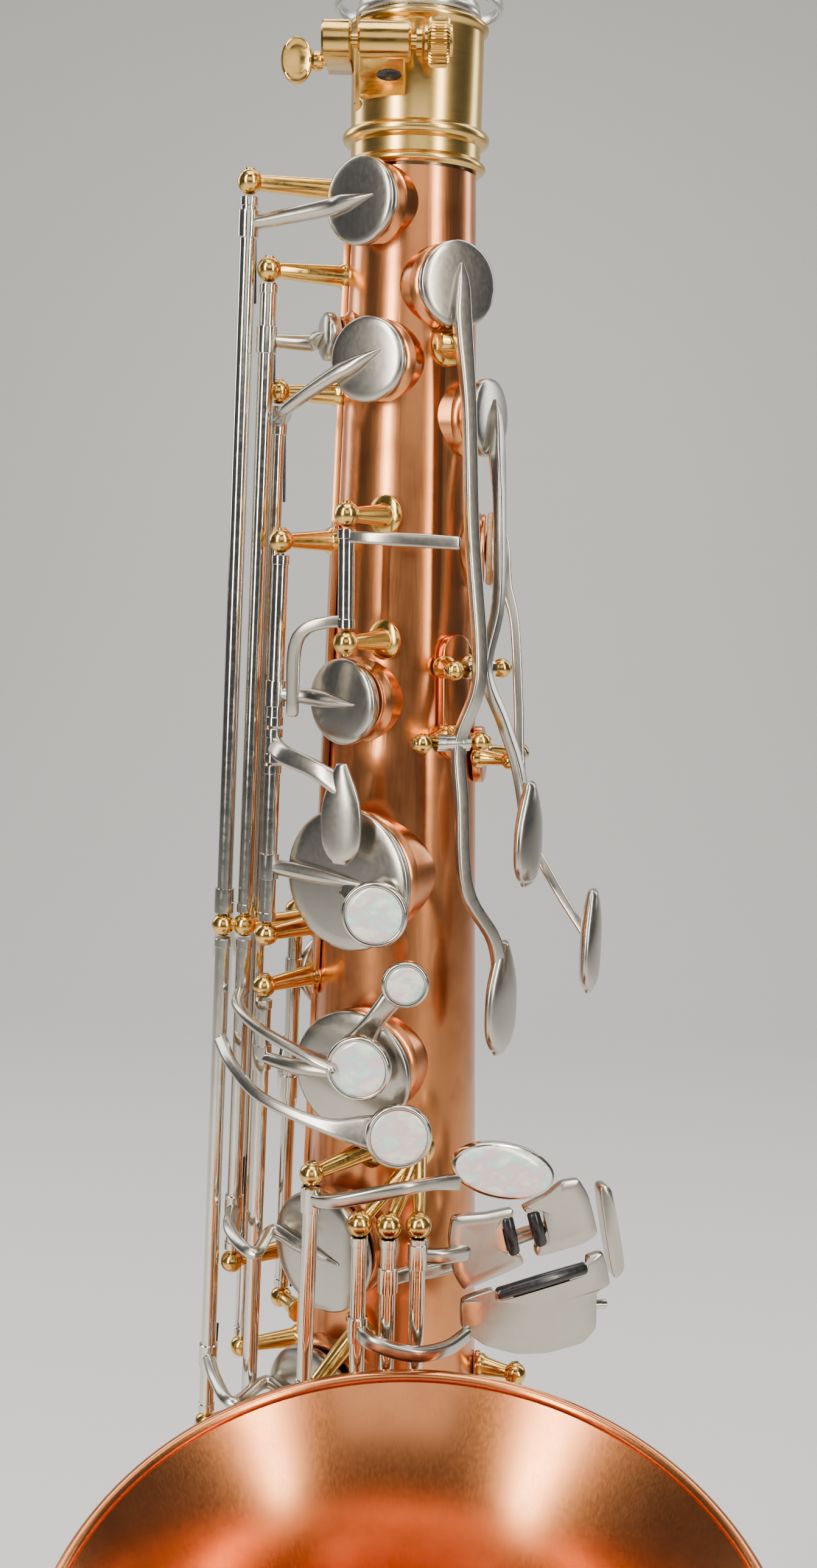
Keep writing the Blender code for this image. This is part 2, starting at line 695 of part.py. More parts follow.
def palm_ribs():
    spread = 11  # how far round the tube a post's foot may stand from the middle of its rib
    for rib_name, (angle, top, bottom, width, names) in PALM_RIBS.items():
        pieces = [bar(on_tube(angle, GAP, top), on_tube(angle, GAP, bottom), width, 2.2, outward(angle))]
        for name in names:
            centre, axis = palm_hinge(name)
            for side in (-1, 1):
                head = centre + axis * (side * (PALM_HALF + GAP + 2.75))
                turn = math.degrees(math.atan2(head.x, -head.y))
                foot = on_tube(min(max(turn, angle - spread), angle + spread), 1.6, -head.z)
                pieces += post(foot, head, 2.3, 1.2)
        node(rib_name, pieces, brass())


GS_LINE = (Vector((-18.4, -36.0, -240.6)), Vector((-19.6, -36.4, -298.0)))


def g_sharp_posts():
    for name, head, angle, depth in (("g_sharp_upper_post", GS_LINE[0], -14, 240),
                                    ("g_sharp_lower_post", GS_LINE[1], -16, 286)):
        foot = on_tube(angle, GAP, depth)
        pieces = [turned([(0, 0), (4.2, 0), (4.2, 1.2), (0, 1.6)], foot, outward(angle), 12),
                  *post(foot + outward(angle) * 1.2, head)]
        node(name, pieces, brass())


def right_ribs():
    rib("g_sharp_key_rib", 82, 302, 343, [(on_tube(78, 11, d), d) for d in (306, 338)], 4.0)
    rib("low_c_sharp_rib", 38, 480, 520, [(on_tube(36, 9, d), d) for d in (484, 516)], 4.0)
    heads = [(on_bell_line(line, d), d) for line, d in BELL_LINE_ENDS.items()]
    rib("bell_key_lower_rib", 8, 402, 492, heads, 4.0)


BELL_LINE_ENDS = {"low_bb": 410, "low_b": 477, "low_cs": 484}


def pinky_posts():
    """Posts of the two foot keys, on the player's right of the bow."""
    heads = [(LOW_LINES["low_eb"](497), 505), (LOW_LINES["low_eb"](540), 540), (LOW_LINES["low_c"](516), 520)]
    rib("foot_key_rib", -60, 501, 545, heads, 5.0)
    foot = bow_spot(52, bow_r(52 / 180) + 2 * GAP)
    head = LOW_LINES["low_c"](-foot.z)
    pieces = [turned([(0, 0), (4.6, 0), (4.6, 1.2), (0, 1.6)], foot, -ACROSS, 12), *post(foot - ACROSS * 0.8, head)]
    node("low_c_lower_post", pieces, brass())


LOW_LINES = {
    "low_eb": lambda depth: Vector((-40.5, -12.5, -depth)),
    "low_c": lambda depth: Vector((-42.0, -30.0, -depth)),
}


# ---------------------------------------------------------------- keys


def lift_axis(pivot, axis, spot, direction):
    """The hinge axis, turned so that a positive angle carries `spot` towards `direction`."""
    return axis if axis.cross(spot - pivot).dot(direction) > 0 else -axis


def cup_arm(start, name, cup_height=PAD_AND_CUP, via=(), half_w=2.1, reach_in=0.0):
    """The bar from a hinge tube over the top of a pad cup. `reach_in` carries it past the cup's middle."""
    angle, depth, _, radius = HOLES[name]
    out = outward(angle)
    top = on_tube(angle, CHIMNEY + GAP + cup_height, depth)
    side = start - top
    side = (side - out * side.dot(out)).normalized()
    route = [start, *via, top + side * (radius * 0.95) + out * 1.3, top + side * (radius * 0.4) + out * 0.8,
             top - side * (radius * reach_in) + out * 0.5]
    return strap(smooth(route), half_w, 0.9, up=out)


def body_cup(name):
    angle, depth, _, radius = HOLES[name]
    return cup_pieces(on_tube(angle, CHIMNEY + GAP, depth), outward(angle), radius)


def straight_arm(points, half_w=2.1, half_t=0.9, up=Vector((0, -1, 0))):
    return strap(smooth([Vector(p) for p in points]), half_w, half_t, up=up)


def oval(length, width, sides=12):
    return [(width / 2 * math.cos(2 * math.pi * k / sides), length / 2 * math.sin(2 * math.pi * k / sides))
            for k in range(sides)]


def plate(centre, face, length, width, thick=1.8, lean=0.0):
    """An oval touch plate with its long side up the body, turned in its own plane by `lean` degrees."""
    right = Vector((0, 0, 1)).cross(face).normalized() * -1
    right = Quaternion(face.normalized(), math.radians(lean)) @ right
    return slab(oval(length, width), thick, centre, right, face)


KEYS = {}


def key(name, pivot, axis, moving, still=(), opened=0.0, travel=8.0, works=None, mat=None):
    """One key. `moving` is modelled with its pad shut and turned open by `opened` degrees; `still` isn't turned.

    `works` is a (point, direction) pair: the way that point goes when the key is worked.
    """
    axis = lift_axis(pivot, axis, *works)
    pieces = [turned_about(piece, pivot, axis, -opened) for piece in moving]
    obj = node(name, [*still, *pieces], mat or nickel(), pivot=pivot)
    obj["hinge_axis"] = tuple(axis)
    obj["travel_degrees"] = travel
    KEYS[name] = obj


def stack_key(name, hole, line, span, arm_depth, opened, extra=(), via=(), more_cups=(), mat=None):
    """A key that stands open on a hinge line and closes one tone hole."""
    axis = (on_line(line, 0) - on_line(line, 100)).normalized()
    pivot = on_line(line, arm_depth)
    tubes = [rod(on_line(line, low), on_line(line, high)) for low, high in span]
    angle, depth, _, _ = HOLES[hole]
    cups = [body_cup(hole), cup_arm(pivot, hole, via=via)]
    works = (on_tube(angle, 4, depth), -outward(angle))
    key(name, pivot, axis, cups, [*tubes, *extra], opened, opened, works, mat)


def open_stack():
    stack_key("small_c_key", "c_vent", "stack", [(96.4, 136.8)], 129, 5.0)
    pearl = at(-8.4, 31.2, 178)
    cup_top = on_tube(-25, CHIMNEY + PAD_AND_CUP + 2.6, 173.5)
    stem = straight_arm([cup_top, (cup_top + pearl) / 2 + outward(-18) * 0.8, pearl + outward(-8.4)], 3.0, 1.4)
    stack_key("b_key", "b", "stack", [(146.2, 184.6)], 171, 5.0, [pearl_touch(pearl, outward(-8.4)), stem])
    pearl = at(4.5, 31.2, 194.5)
    cup_top = on_tube(-18, CHIMNEY + PAD_AND_CUP + 2.6, 213)
    stem = straight_arm([cup_top, at(-8, 31.4, 204), pearl + outward(4.5) * 0.9], 2.4, 1.2)
    stack_key("bis_key", "bis", "stack", [(204.4, 311.9)], 219, 5.0, [pearl_touch(pearl, outward(4.5), 5.6), stem])
    pearl = at(-11.8, 35.8, 213.8)
    arm = straight_arm([on_line("outer", 205), (-38.2, -16.6, -206), (-31.8, -26.6, -208.5), (-20, -34.4, -212),
                        pearl + outward(-11.8)], 2.2, 1.2)
    stack_key("a_key", "a", "outer", [(191.5, 273.6)], 262, 4.5, [pearl_touch(pearl, outward(-11.8)), arm],
              via=[Vector((-38.6, -19.2, -263)), Vector((-31.0, -28.2, -264.5))])
    pearl = at(3.0, 36.6, 229.6)
    arm = straight_arm([on_line("side_high", 217), (-39.5, -18, -220.5), (-31, -28.5, -225), (-16, -35.6, -228.5),
                        pearl + outward(3)], 2.2, 1.0)
    stack_key("g_key", "g", "side_high", [(191.4, 318.6)], 303, 4.5, [pearl_touch(pearl, outward(3)), arm],
              via=[Vector((-42.0, -19.0, -303.5)), Vector((-36.0, -27.0, -304.5))])
    lower = (("f_sharp_key", "fs", (319.2, 362.0), 345), ("f_key", "f", (362.4, 403.0), 387),
             ("e_key", "e", (403.4, 440.4), 430), ("d_key", "d", (447.6, 491.4), 474))
    for name, hole, span, arm_depth in lower:
        angle, depth, _, _ = HOLES[hole]
        extra = []
        if name != "f_sharp_key":
            base = on_tube(angle + 3, CHIMNEY + PAD_AND_CUP + 3.4, depth)
            stem = rod(base - outward(angle) * 3.4, base + outward(angle), 3.2)
            extra = [pearl_touch(base, outward(angle + 3), 7.2), stem]
        stack_key(name, hole, "stack", [span], arm_depth, 4.5, extra)


def side_key(name, hole, line, span, arm_depth, touch, opens, via=(), mat=None):
    """A key shut by its spring, on a hinge line, with a touch plate behind the line."""
    axis = (on_line(line, 0) - on_line(line, 100)).normalized()
    pivot = on_line(line, arm_depth)
    angle, depth, _, _ = HOLES[hole]
    pieces = [rod(on_line(line, span[0]), on_line(line, span[1])), body_cup(hole), cup_arm(pivot, hole, via=via)]
    if touch:
        touch_angle, standoff, touch_depth = touch
        centre = on_tube(touch_angle, standoff, touch_depth)
        out = outward(touch_angle + 12)
        pieces += [plate(centre, out, 24, 10),
                   straight_arm([on_line(line, min(touch_depth, span[1] - 2.8)), centre + out * 0.9], 2.4, 1.1,
                                up=Vector((0, 0, 1)))]
    key(name, pivot, axis, pieces, travel=opens, works=(on_tube(angle, 4, depth), outward(angle)), mat=mat)


def side_keys():
    side_key("high_e_key", "high_e", "side_high", (14.4, 184.6), 20.5, (-103, 25, 200), 9.0)
    side_key("high_f_sharp_key", "high_fs", "outer", (33.8, 184.7), 46.5, None, 10.0)
    side_key("side_c_key", "side_c", "under", (61.4, 300.1), 65, (-110, 19, 268), 6.5,
             via=[Vector((-29.6, -6.6, -64.2)), Vector((-27.8, -12.2, -62))])
    side_key("side_b_flat_key", "side_bb", "back", (191.4, 292.6), 204, (-128, 14.5, 236), 8.0)


def palm_key(name, hole, route, touch_centre, touch_face, length, width, opens):
    """A palm key: a long lever rocking on a short hinge tube that lies across it."""
    centre, axis = palm_hinge(name)
    angle, depth, _, radius = HOLES[hole]
    out = outward(angle)
    top = on_tube(angle, CHIMNEY + GAP + PAD_AND_CUP, depth)
    lever = [top + out * 0.7, top + out * 1.0 - Vector((0, 0, radius * 0.9)), *[at(*p) for p in route], touch_centre]
    pieces = [rod(centre - axis * PALM_HALF, centre + axis * PALM_HALF), body_cup(hole),
              strap(smooth(lever), 2.4, 0.9, up=out),
              plate(touch_centre - touch_face * 0.9, touch_face, length, width, 2.2)]
    key(name + "_key", centre, axis, pieces, travel=opens, works=(on_tube(angle, 4, depth), out))


def palm_keys():
    palm_key("palm_f", "palm_f", [(32, 26.0, 62), (32.5, 28.4, 90), (33, 32.4, 115), (32, 32.8, 126),
                                  (26.5, 30.6, 138), (27, 32.0, 152), (29, 33.5, 172), (43, 34.5, 186)],
             Vector((25.3, -22.0, -201)), outward(62), 27, 15, 4.5)
    palm_key("palm_eb", "palm_eb", [(55, 26.5, 84), (51, 28.4, 106), (41.5, 29.4, 121.5), (50, 31.5, 134),
                                    (56, 34, 146)],
             Vector((30.2, -20.0, -160)), outward(66), 26, 15, 5.0)
    palm_key("palm_d", "palm_d", [(84, 27.0, 112), (80, 28.8, 132), (78, 29.6, 144), (77.5, 32.5, 162),
                                  (72.5, 40.5, 175)],
             Vector((46.5, -19.0, -187)), outward(76), 24, 17, 5.0)


def front_f():
    line = "stack"
    axis = (on_line(line, 0) - on_line(line, 100)).normalized()
    pivot = on_line(line, 141)
    touch = at(-22.9, 32.6, 155.5)
    arm = straight_arm([pivot, (-27.5, -22.5, -142.5), (-19.5, -28.5, -145), touch + Vector((0, 0, 7))], 2.2, 1.1)
    leaf = [(4.4 * math.cos(a) * (1.0 - 0.28 * math.sin(a)), 11.2 * math.sin(a))
            for a in (math.pi * k / 10 for k in range(20))]
    drop = slab(leaf, 2.4, touch, outward(-23).cross(Vector((0, 0, 1))) * -1, outward(-23))
    tube = rod(on_line(line, 137.4), on_line(line, 145.6))
    key("front_f_touch", pivot, axis, [], [tube, arm, drop], travel=7.0, works=(touch, -outward(-23)))
    top, bottom = FRONT_F_LINE
    axis = (top - bottom).normalized()
    ends = (top - axis * 3.3, bottom + axis * 3.3)
    upper = straight_arm([ends[0] - axis * 2, top + Vector((6, -3.2, -4)), top + Vector((15, -4.8, -2)),
                          top + Vector((25, -3.6, -1))], 2.2, 1.0, up=Vector((0, -1, 0)))
    lower = straight_arm([ends[1] + axis * 2, bottom + Vector((-7, 0.8, 3)), bottom + Vector((-11.5, 3.0, -4)),
                          bottom + Vector((-12, 4.4, -17))], 1.5, 1.0, up=Vector((0, -1, 0)))
    key("front_f_link", (top + bottom) / 2, axis, [], [rod(*ends), upper, lower], travel=5.0,
        works=(top + Vector((20, 0, 0)), Vector((0, -1, 0))))


def g_sharp_keys():
    top, bottom = GS_LINE
    axis = (top - bottom).normalized()
    ends = (top - axis * 3.4, bottom + axis * 3.4)
    touch = Vector((26.8, -31.5, -240))
    face = Vector((0.25, -1, 0.1)).normalized()
    arm = straight_arm([ends[0] - axis * 3.4, (-12.6, -41.6, -244.6), (2, -43.6, -241.2), (14, -39.5, -241.2), touch],
                       2.0, 1.2)
    key("g_sharp_lever", (top + bottom) / 2, axis, [],
        [rod(*ends), arm, plate(touch - face * 0.9, face, 13.4, 25, 3.2, lean=-12)], travel=6.0,
        works=(touch, Vector((0, 1, 0))))
    axis = (on_tube(78, 11, 0) - on_tube(78, 11, 100)).normalized()
    pivot = on_tube(78, 11, 322)
    tube = rod(on_tube(78, 11, 309.3), on_tube(78, 11, 334.7))
    out = outward(42)
    key("g_sharp_key", pivot, axis, [tube, body_cup("gs"), cup_arm(pivot, "gs")], travel=7.0,
        works=(on_tube(42, 4, 322), out))


TABLE_RIGHT = Vector((0.95, 0.31, 0)).normalized()
TABLE_FACE = Vector((0.31, -0.95, 0)).normalized()
TABLE_CORNER = Vector((14.4, -33.0, -250.0))  # the table's upper inner corner


def table_plate(outline):
    """A plate of the left little finger's table; its outline is in millimetres from the table's corner."""
    return slab(outline, 2.0, TABLE_CORNER, TABLE_RIGHT, TABLE_FACE)


def rounded_end(centre, radius, start, end, steps=5):
    cx, cy = centre
    return [(cx + radius * math.cos(math.radians(start + (end - start) * i / steps)),
             cy + radius * math.sin(math.radians(start + (end - start) * i / steps))) for i in range(steps + 1)]


def table_keys():
    """The low C sharp, B and B flat touches, each on its own long rod."""
    cs = [(0, 0), (0, -20), *rounded_end((18.5, -20.5), 2.0, -90, 0, 3), (20.5, 0)]
    b = [(21.4, -1.2), (33, 4.5), *rounded_end((35.5, 1.6), 2.6, 80, 0, 3), (39.2, -8.4), (37.6, -10.6), (21.8, -15.4)]
    bb = [(4.0, -24.2), (20.8, -23.6), (37.6, -12.4), *rounded_end((33.6, -31), 6.0, 0, -75, 3),
          (20, -38.6), *rounded_end((9.0, -33.0), 5.0, -120, -180, 3)]
    arms = {
        "low_cs": [(0, 259.5), (-36.8, 12.5, 260), (-33.6, 18.5, 260.5)],
        "low_b": [(0, 265.5), (-34.0, 4.6, 266), (-30.0, 12, 266.5), (-24.9, 22, 265), (-22.7, 33, 260.5),
                  (-24.3, 39, 258)],
        "low_bb": [(0, 278.5), (-42.9, -3.3, 279.1), (-44.3, 6.2, 281.1), (-39.5, 14.2, 282.2), (-33.9, 19.3, 281.5)],
    }
    outlines = {"low_cs": cs, "low_b": b, "low_bb": bb}
    axis = Vector((0, 0, 1))
    names = {"low_cs": "low_c_sharp_lever", "low_b": "low_b_key", "low_bb": "low_b_flat_key"}
    for line, outline in outlines.items():
        pivot = on_bell_line(line, 300)
        foot = BELL_LINE_ENDS[line]
        pieces = [rod(on_bell_line(line, 255.5), on_bell_line(line, foot - 3.3)), table_plate(outline)]
        points = [on_bell_line(line, arms[line][0][1])] + [Vector((x, y, -d)) for y, x, d in arms[line][1:]]
        pieces.append(straight_arm(points, 2.2, 1.1))
        moving, opened = [], 0.0
        if line == "low_cs":
            pieces.append(straight_arm([on_bell_line(line, 476), at(17, 41.2, 478), at(24, 41.6, 487)], 2.0, 1.0))
        else:
            share, _, cup_r = BELL_HOLES[line]
            base = bell_centre(share) + BELL_SIDE * (bell_r(share) + CHIMNEY + GAP)
            out = BELL_SIDE
            start = on_bell_line(line, -base.z)
            side = start - base
            side = (side - out * side.dot(out)).normalized()
            top = base + out * PAD_AND_CUP
            arm = [start, top + side * cup_r * 0.95 + out * 1.3, top + side * cup_r * 0.4 + out * 0.8, top + out * 0.5]
            moving = [cup_pieces(base, out, cup_r), strap(smooth(arm), 2.8, 1.0, up=out)]
            opened = 6.0
        works = (pivot + Vector((20, 0, 0)), Vector((0, 1, 0)))
        key(names[line], pivot, axis, moving, pieces, opened, opened or 4.5, works)
    axis = (on_tube(36, 9, 0) - on_tube(36, 9, 100)).normalized()
    pivot = on_tube(36, 9, 500)
    tube = rod(on_tube(36, 9, 487.3), on_tube(36, 9, 512.7))
    tail = straight_arm([on_tube(36, 9, 491), at(30, 38.2, 490.5), at(24.5, 38.6, 490)], 2.0, 1.0)
    angle, depth, _, _ = HOLES["low_cs"]
    key("low_c_sharp_key", pivot, axis, [tube, tail, body_cup("low_cs"), cup_arm(pivot, "low_cs")], travel=5.25,
        works=(on_tube(angle, 4, depth), outward(angle)))


def foot_keys():
    """Low E flat and low C, worked by the right little finger."""
    up = Vector((0, 0, 1))
    line = LOW_LINES["low_eb"]
    pivot = line(515)
    face = Vector((-0.8, -0.6, 0)).normalized()
    touch = Vector((-50.5, -28.5, -508))
    tube = rod(line(500.4), line(536.6))
    arm = straight_arm([line(508), (-47.5, -21.5, -508), touch + face * 0.8], 2.4, 1.1, up=face)
    angle, depth, _, _ = HOLES["low_eb"]
    pieces = [tube, arm, plate(touch, face, 13, 17, 2.4), body_cup("low_eb"), cup_arm(pivot, "low_eb", half_w=2.6)]
    key("low_e_flat_key", pivot, up, pieces, travel=8.0, works=(on_tube(angle, 4, depth), outward(angle)))
    line = LOW_LINES["low_c"]
    degrees, _, cup_r = BOW_HOLE
    base = bow_spot(degrees, bow_r(degrees / 180) + CHIMNEY + GAP)
    pivot = line(-base.z)
    top = base - ACROSS * PAD_AND_CUP
    foot = -bow_spot(52, 0).z
    tubes = [rod(line(519.4), line(foot - 3.4))]
    touch = Vector((-55.0, -40.0, -525))
    arm = straight_arm([line(525), (-48.5, -34.5, -525), touch + face * 0.8], 2.4, 1.1, up=face)
    cup_bar = [line(596), Vector((-43.0, -40, -600)), top + Vector((-1.3, cup_r * 0.7, 2)), top + Vector((-0.6, 0, 0))]
    moving = [cup_pieces(base, -ACROSS, cup_r), strap(smooth(cup_bar), 2.8, 1.0, up=-ACROSS)]
    key("low_c_key", pivot, up, moving, [*tubes, arm, plate(touch, face, 13, 17, 2.4)], 6.0, 6.0,
        works=(base, ACROSS))


def octave_mechanism():
    """The body's octave vent and the thumb lever, both on saddles across the back."""
    across = ACROSS
    back = outward(180)
    hinge = on_tube(180, 7.0, 92)
    pad_base = on_tube(180, -1.5, 74) + back * (5 + GAP)
    arm = straight_arm([pad_base + back * 3.6, hinge + Vector((0, 0, 4)), hinge, hinge - Vector((0, 0, 16))], 2.2, 1.0,
                       up=back)
    barrel = rod(hinge - across * 4.4, hinge + across * 4.4)
    key("octave_vent_key", hinge, across, [cup_pieces(pad_base, back, 4.4, 3.4), arm, barrel], travel=8.0,
        works=(pad_base, back))
    lever_hinge = on_tube(180, 7.0, 196)
    touch = on_tube(176, 6.0, 214)
    lever = straight_arm([lever_hinge + Vector((0, 0, 78)) - back * 1.0, lever_hinge + Vector((0, 0, 40)),
                          lever_hinge, touch + back * 0.9], 2.2, 1.0, up=back)
    key("octave_thumb_lever", lever_hinge, across, [lever, rod(lever_hinge - across * 4.4, lever_hinge + across * 4.4),
                                                   plate(touch, back, 12, 16, 2.0)],
        travel=5.0, works=(touch, -back))
    top, bottom = hinge, lever_hinge
    pieces = [bar(on_tube(180, GAP, -top.z - 4), on_tube(180, GAP, 4 - bottom.z), 6, 1.4, back)]
    for middle in (top, bottom):
        depth = -middle.z
        pieces.append(bar(on_tube(180, 0.6, depth - 4), on_tube(180, 0.6, depth + 4), 16, 1.8, back))
        for side in (-1, 1):
            head = middle + across * (side * (4.4 + GAP + 2.0))
            pieces += [rod(head - back * 5.6, head, 1.4), ball(head, 2.0)]
    node("octave_rib", pieces, brass())


def main():
    for obj in list(bpy.data.objects):
        bpy.data.objects.remove(obj)
    for make in (body_tube, bow, bell, ferrules, bell_brace, strap_ring, thumb_rest, thumb_hook, receiver, screws,
                 neck, neck_saddle, neck_octave_key, ribs, bell_key_post, front_f_posts, palm_ribs, g_sharp_posts,
                 right_ribs, pinky_posts, open_stack, side_keys, palm_keys, front_f, g_sharp_keys, table_keys,
                 foot_keys, octave_mechanism):
        make()


main()
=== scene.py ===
"""Looks of the tenor saxophone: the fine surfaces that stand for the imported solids, their materials, the studio.

Lengths are in millimetres and heights are depths below the bead ring of the neck receiver, as an instrument
maker lays out a body. Angles go round the body tube: 0 is the front, positive the player's left (+X).
`to_frame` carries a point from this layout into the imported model's frame, in metres.
"""

import json
import math

import bpy
from mathutils import Matrix, Quaternion, Vector

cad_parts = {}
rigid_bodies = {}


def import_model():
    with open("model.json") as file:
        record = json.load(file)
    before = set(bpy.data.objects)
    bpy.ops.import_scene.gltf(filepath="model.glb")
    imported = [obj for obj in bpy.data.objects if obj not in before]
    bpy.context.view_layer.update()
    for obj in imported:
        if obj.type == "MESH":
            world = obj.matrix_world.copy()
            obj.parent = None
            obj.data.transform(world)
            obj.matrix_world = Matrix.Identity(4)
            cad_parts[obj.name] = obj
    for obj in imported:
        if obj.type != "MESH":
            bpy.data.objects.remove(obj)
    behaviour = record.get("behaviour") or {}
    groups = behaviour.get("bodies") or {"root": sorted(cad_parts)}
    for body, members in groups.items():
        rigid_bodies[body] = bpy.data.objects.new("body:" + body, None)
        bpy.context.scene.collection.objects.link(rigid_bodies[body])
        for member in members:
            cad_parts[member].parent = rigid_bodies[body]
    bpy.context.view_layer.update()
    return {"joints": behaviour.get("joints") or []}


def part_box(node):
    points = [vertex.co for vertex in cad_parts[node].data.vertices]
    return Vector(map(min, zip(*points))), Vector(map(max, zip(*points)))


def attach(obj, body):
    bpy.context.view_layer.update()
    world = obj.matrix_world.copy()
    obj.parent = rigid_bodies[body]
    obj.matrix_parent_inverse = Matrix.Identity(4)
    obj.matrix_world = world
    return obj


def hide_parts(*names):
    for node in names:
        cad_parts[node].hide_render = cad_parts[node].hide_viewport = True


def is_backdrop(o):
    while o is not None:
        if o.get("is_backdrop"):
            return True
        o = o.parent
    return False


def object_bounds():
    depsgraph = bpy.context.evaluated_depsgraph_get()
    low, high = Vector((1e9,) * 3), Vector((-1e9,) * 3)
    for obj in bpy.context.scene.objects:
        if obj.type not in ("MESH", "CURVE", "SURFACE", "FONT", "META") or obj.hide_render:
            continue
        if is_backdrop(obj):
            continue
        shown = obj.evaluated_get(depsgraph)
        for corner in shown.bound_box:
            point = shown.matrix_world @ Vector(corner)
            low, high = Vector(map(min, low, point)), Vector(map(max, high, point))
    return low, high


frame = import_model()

MM = 0.001
JOINTS = {joint["child"]: joint for joint in frame["joints"]}

# The body's layout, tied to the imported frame
RECEIVER_FOOT = 7.5
BEAD_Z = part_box("neck_receiver")[0].z / MM + RECEIVER_FOOT
AXIS_Y = JOINTS["neck"]["pos_m"][1] / MM
TUBE_TOP_R, TUBE_TAPER = 14.1, 0.0292
TUBE_TOP, TUBE_END = 8.0, 566.0
WALL = 0.8
BOW_R, BOW_END_R = 44.0, 36.5
BELL_RIM = Vector((8.0, -114.0, -306.0))
BELL_R = 74.5
BELL_TILT = math.radians(14)
ROD_R = 1.9
BALL_R = 2.9
CHIMNEY = 2.2
PAD_AND_CUP = 4.2
GAP = 0.35
PEARL_R = 7.8
ACROSS = Vector((1, 0, 0))
UP = Vector((0, 0, 1))
FORWARD = Vector((0, -1, 0))

# name: (angle, depth, hole radius, cup radius)
HOLES = {
    "high_e": (-37, 16.4, 6.9, 9.8),
    "palm_f": (31, 34.5, 7.2, 9.8),
    "high_fs": (-72, 45.5, 3.9, 5.6),
    "side_c": (-27, 51.5, 7.2, 9.6),
    "palm_eb": (62, 63.5, 6.8, 9.0),
    "palm_d": (88, 94, 7.4, 9.6),
    "c_vent": (-35, 130, 7.8, 10.2),
    "b": (-27.0, 172, 13.0, 17.2),
    "side_bb": (-134, 205, 8.0, 10.4),
    "bis": (-20, 218.8, 11.6, 15.2),
    "a": (-34, 265.5, 11.6, 15.2),
    "gs": (42, 322, 9.6, 11.8),
    "g": (-38, 306, 12.0, 14.6),
    "fs": (-38, 346, 12.6, 15.2),
    "f": (-40, 388, 13.2, 16.0),
    "e": (-38, 431, 13.8, 16.6),
    "d": (-38, 475, 14.2, 17.2),
    "low_eb": (-100, 515, 13.5, 16.4),
    "low_cs": (72, 500, 13.5, 16.4),
}
# Hinge lines beside the body: (angle, distance from the tube's surface)
LINES = {
    "side_high": (-81, 24.2),
    "outer": (-80, 19.0),
    "under": (-88, 15.7),
    "back": (-112, 9.0),
    "stack": (-64.4, 15.6),
    "gs_key": (78, 11.0),
    "cs_key": (36, 9.0),
}
BELL_LINE_REACH = 38.3
BELL_LINES = {"low_bb": -10.2, "low_b": 0.3, "low_cs": 10.8}
BOW_HOLE = (118, 15.0, 18.0)
BELL_HOLES = {"low_b": (0.38, 16.0, 19.4), "low_bb": (0.66, 17.0, 20.6)}
BELL_HOLE_SIDE = Vector((-0.61, 0.79, 0)).normalized()


def to_frame(v):
    return Vector((v.x, v.y + AXIS_Y, v.z + BEAD_Z)) * MM


def tube_r(depth):
    return TUBE_TOP_R + TUBE_TAPER * depth


def at(angle, reach, depth):
    """A point at an angle round the body tube, a reach from its axis and a depth below the bead."""
    a = math.radians(angle)
    return Vector((reach * math.sin(a), -reach * math.cos(a), -depth))


def outward(angle):
    return at(angle, 1, 0)


def on_tube(angle, standoff, depth):
    return at(angle, tube_r(depth) + standoff, depth)


def on_line(line, depth):
    angle, standoff = LINES[line]
    return on_tube(angle, standoff, depth)


def on_bell_line(name, depth):
    return at(BELL_LINES[name], BELL_LINE_REACH, depth)


def bow_r(share):
    return tube_r(TUBE_END) + (BOW_END_R - tube_r(TUBE_END)) * share


def bow_centre(degrees):
    a = math.radians(degrees)
    return Vector((0, -BOW_R + BOW_R * math.cos(a), -TUBE_END - 3 - BOW_R * math.sin(a)))


def bell_centre(share):
    foot = Vector((0, -2 * BOW_R, -TUBE_END))
    lean = share ** 1.6
    return Vector((foot.x + (BELL_RIM.x - foot.x) * lean, foot.y + (BELL_RIM.y - foot.y) * lean,
                   foot.z + (BELL_RIM.z - foot.z) * share))


def bell_r(share):
    cone = BOW_END_R + 12.5 * share
    return cone + (BELL_R - BOW_END_R - 12.5) * share ** 9


# ---------------------------------------------------------------- shapes: each is (vertices, faces)


def mix(a, b, t):
    return a + (b - a) * t


def smooth(points, steps=6):
    """A curve through the given points, with `steps` stretches between neighbours. Works on numbers too."""
    ends = [2 * points[0] - points[1]] + list(points) + [2 * points[-1] - points[-2]]
    curve = []
    for i in range(1, len(ends) - 2):
        p0, p1, p2, p3 = ends[i - 1:i + 3]
        for s in range(steps):
            t = s / steps
            curve.append(0.5 * (2 * p1 + (p2 - p0) * t + (2 * p0 - 5 * p1 + 4 * p2 - p3) * t * t
                                + (3 * p1 - p0 - 3 * p2 + p3) * t ** 3))
    return curve + [points[-1]]


def turned(profile, base, direction, sides=40):
    """A solid turned about a line through `base`: (radius, height) pairs."""
    direction = direction.normalized()
    turn = Vector((0, 0, 1)).rotation_difference(direction)
    verts, faces, rows = [], [], []
    for r, h in profile:
        row = []
        for k in range(sides if r > 1e-6 else 1):
            a = 2 * math.pi * k / sides
            row.append(len(verts))
            verts.append(base + turn @ Vector((r * math.cos(a), r * math.sin(a), h)))
        rows.append(row)
    for low, high in zip(rows, rows[1:]):
        for k in range(sides):
            a, b = low[k % len(low)], low[(k + 1) % len(low)]
            c, d = high[(k + 1) % len(high)], high[k % len(high)]
            face = list(dict.fromkeys((a, b, c, d)))
            if len(face) > 2:
                faces.append(tuple(face))
    return verts, faces


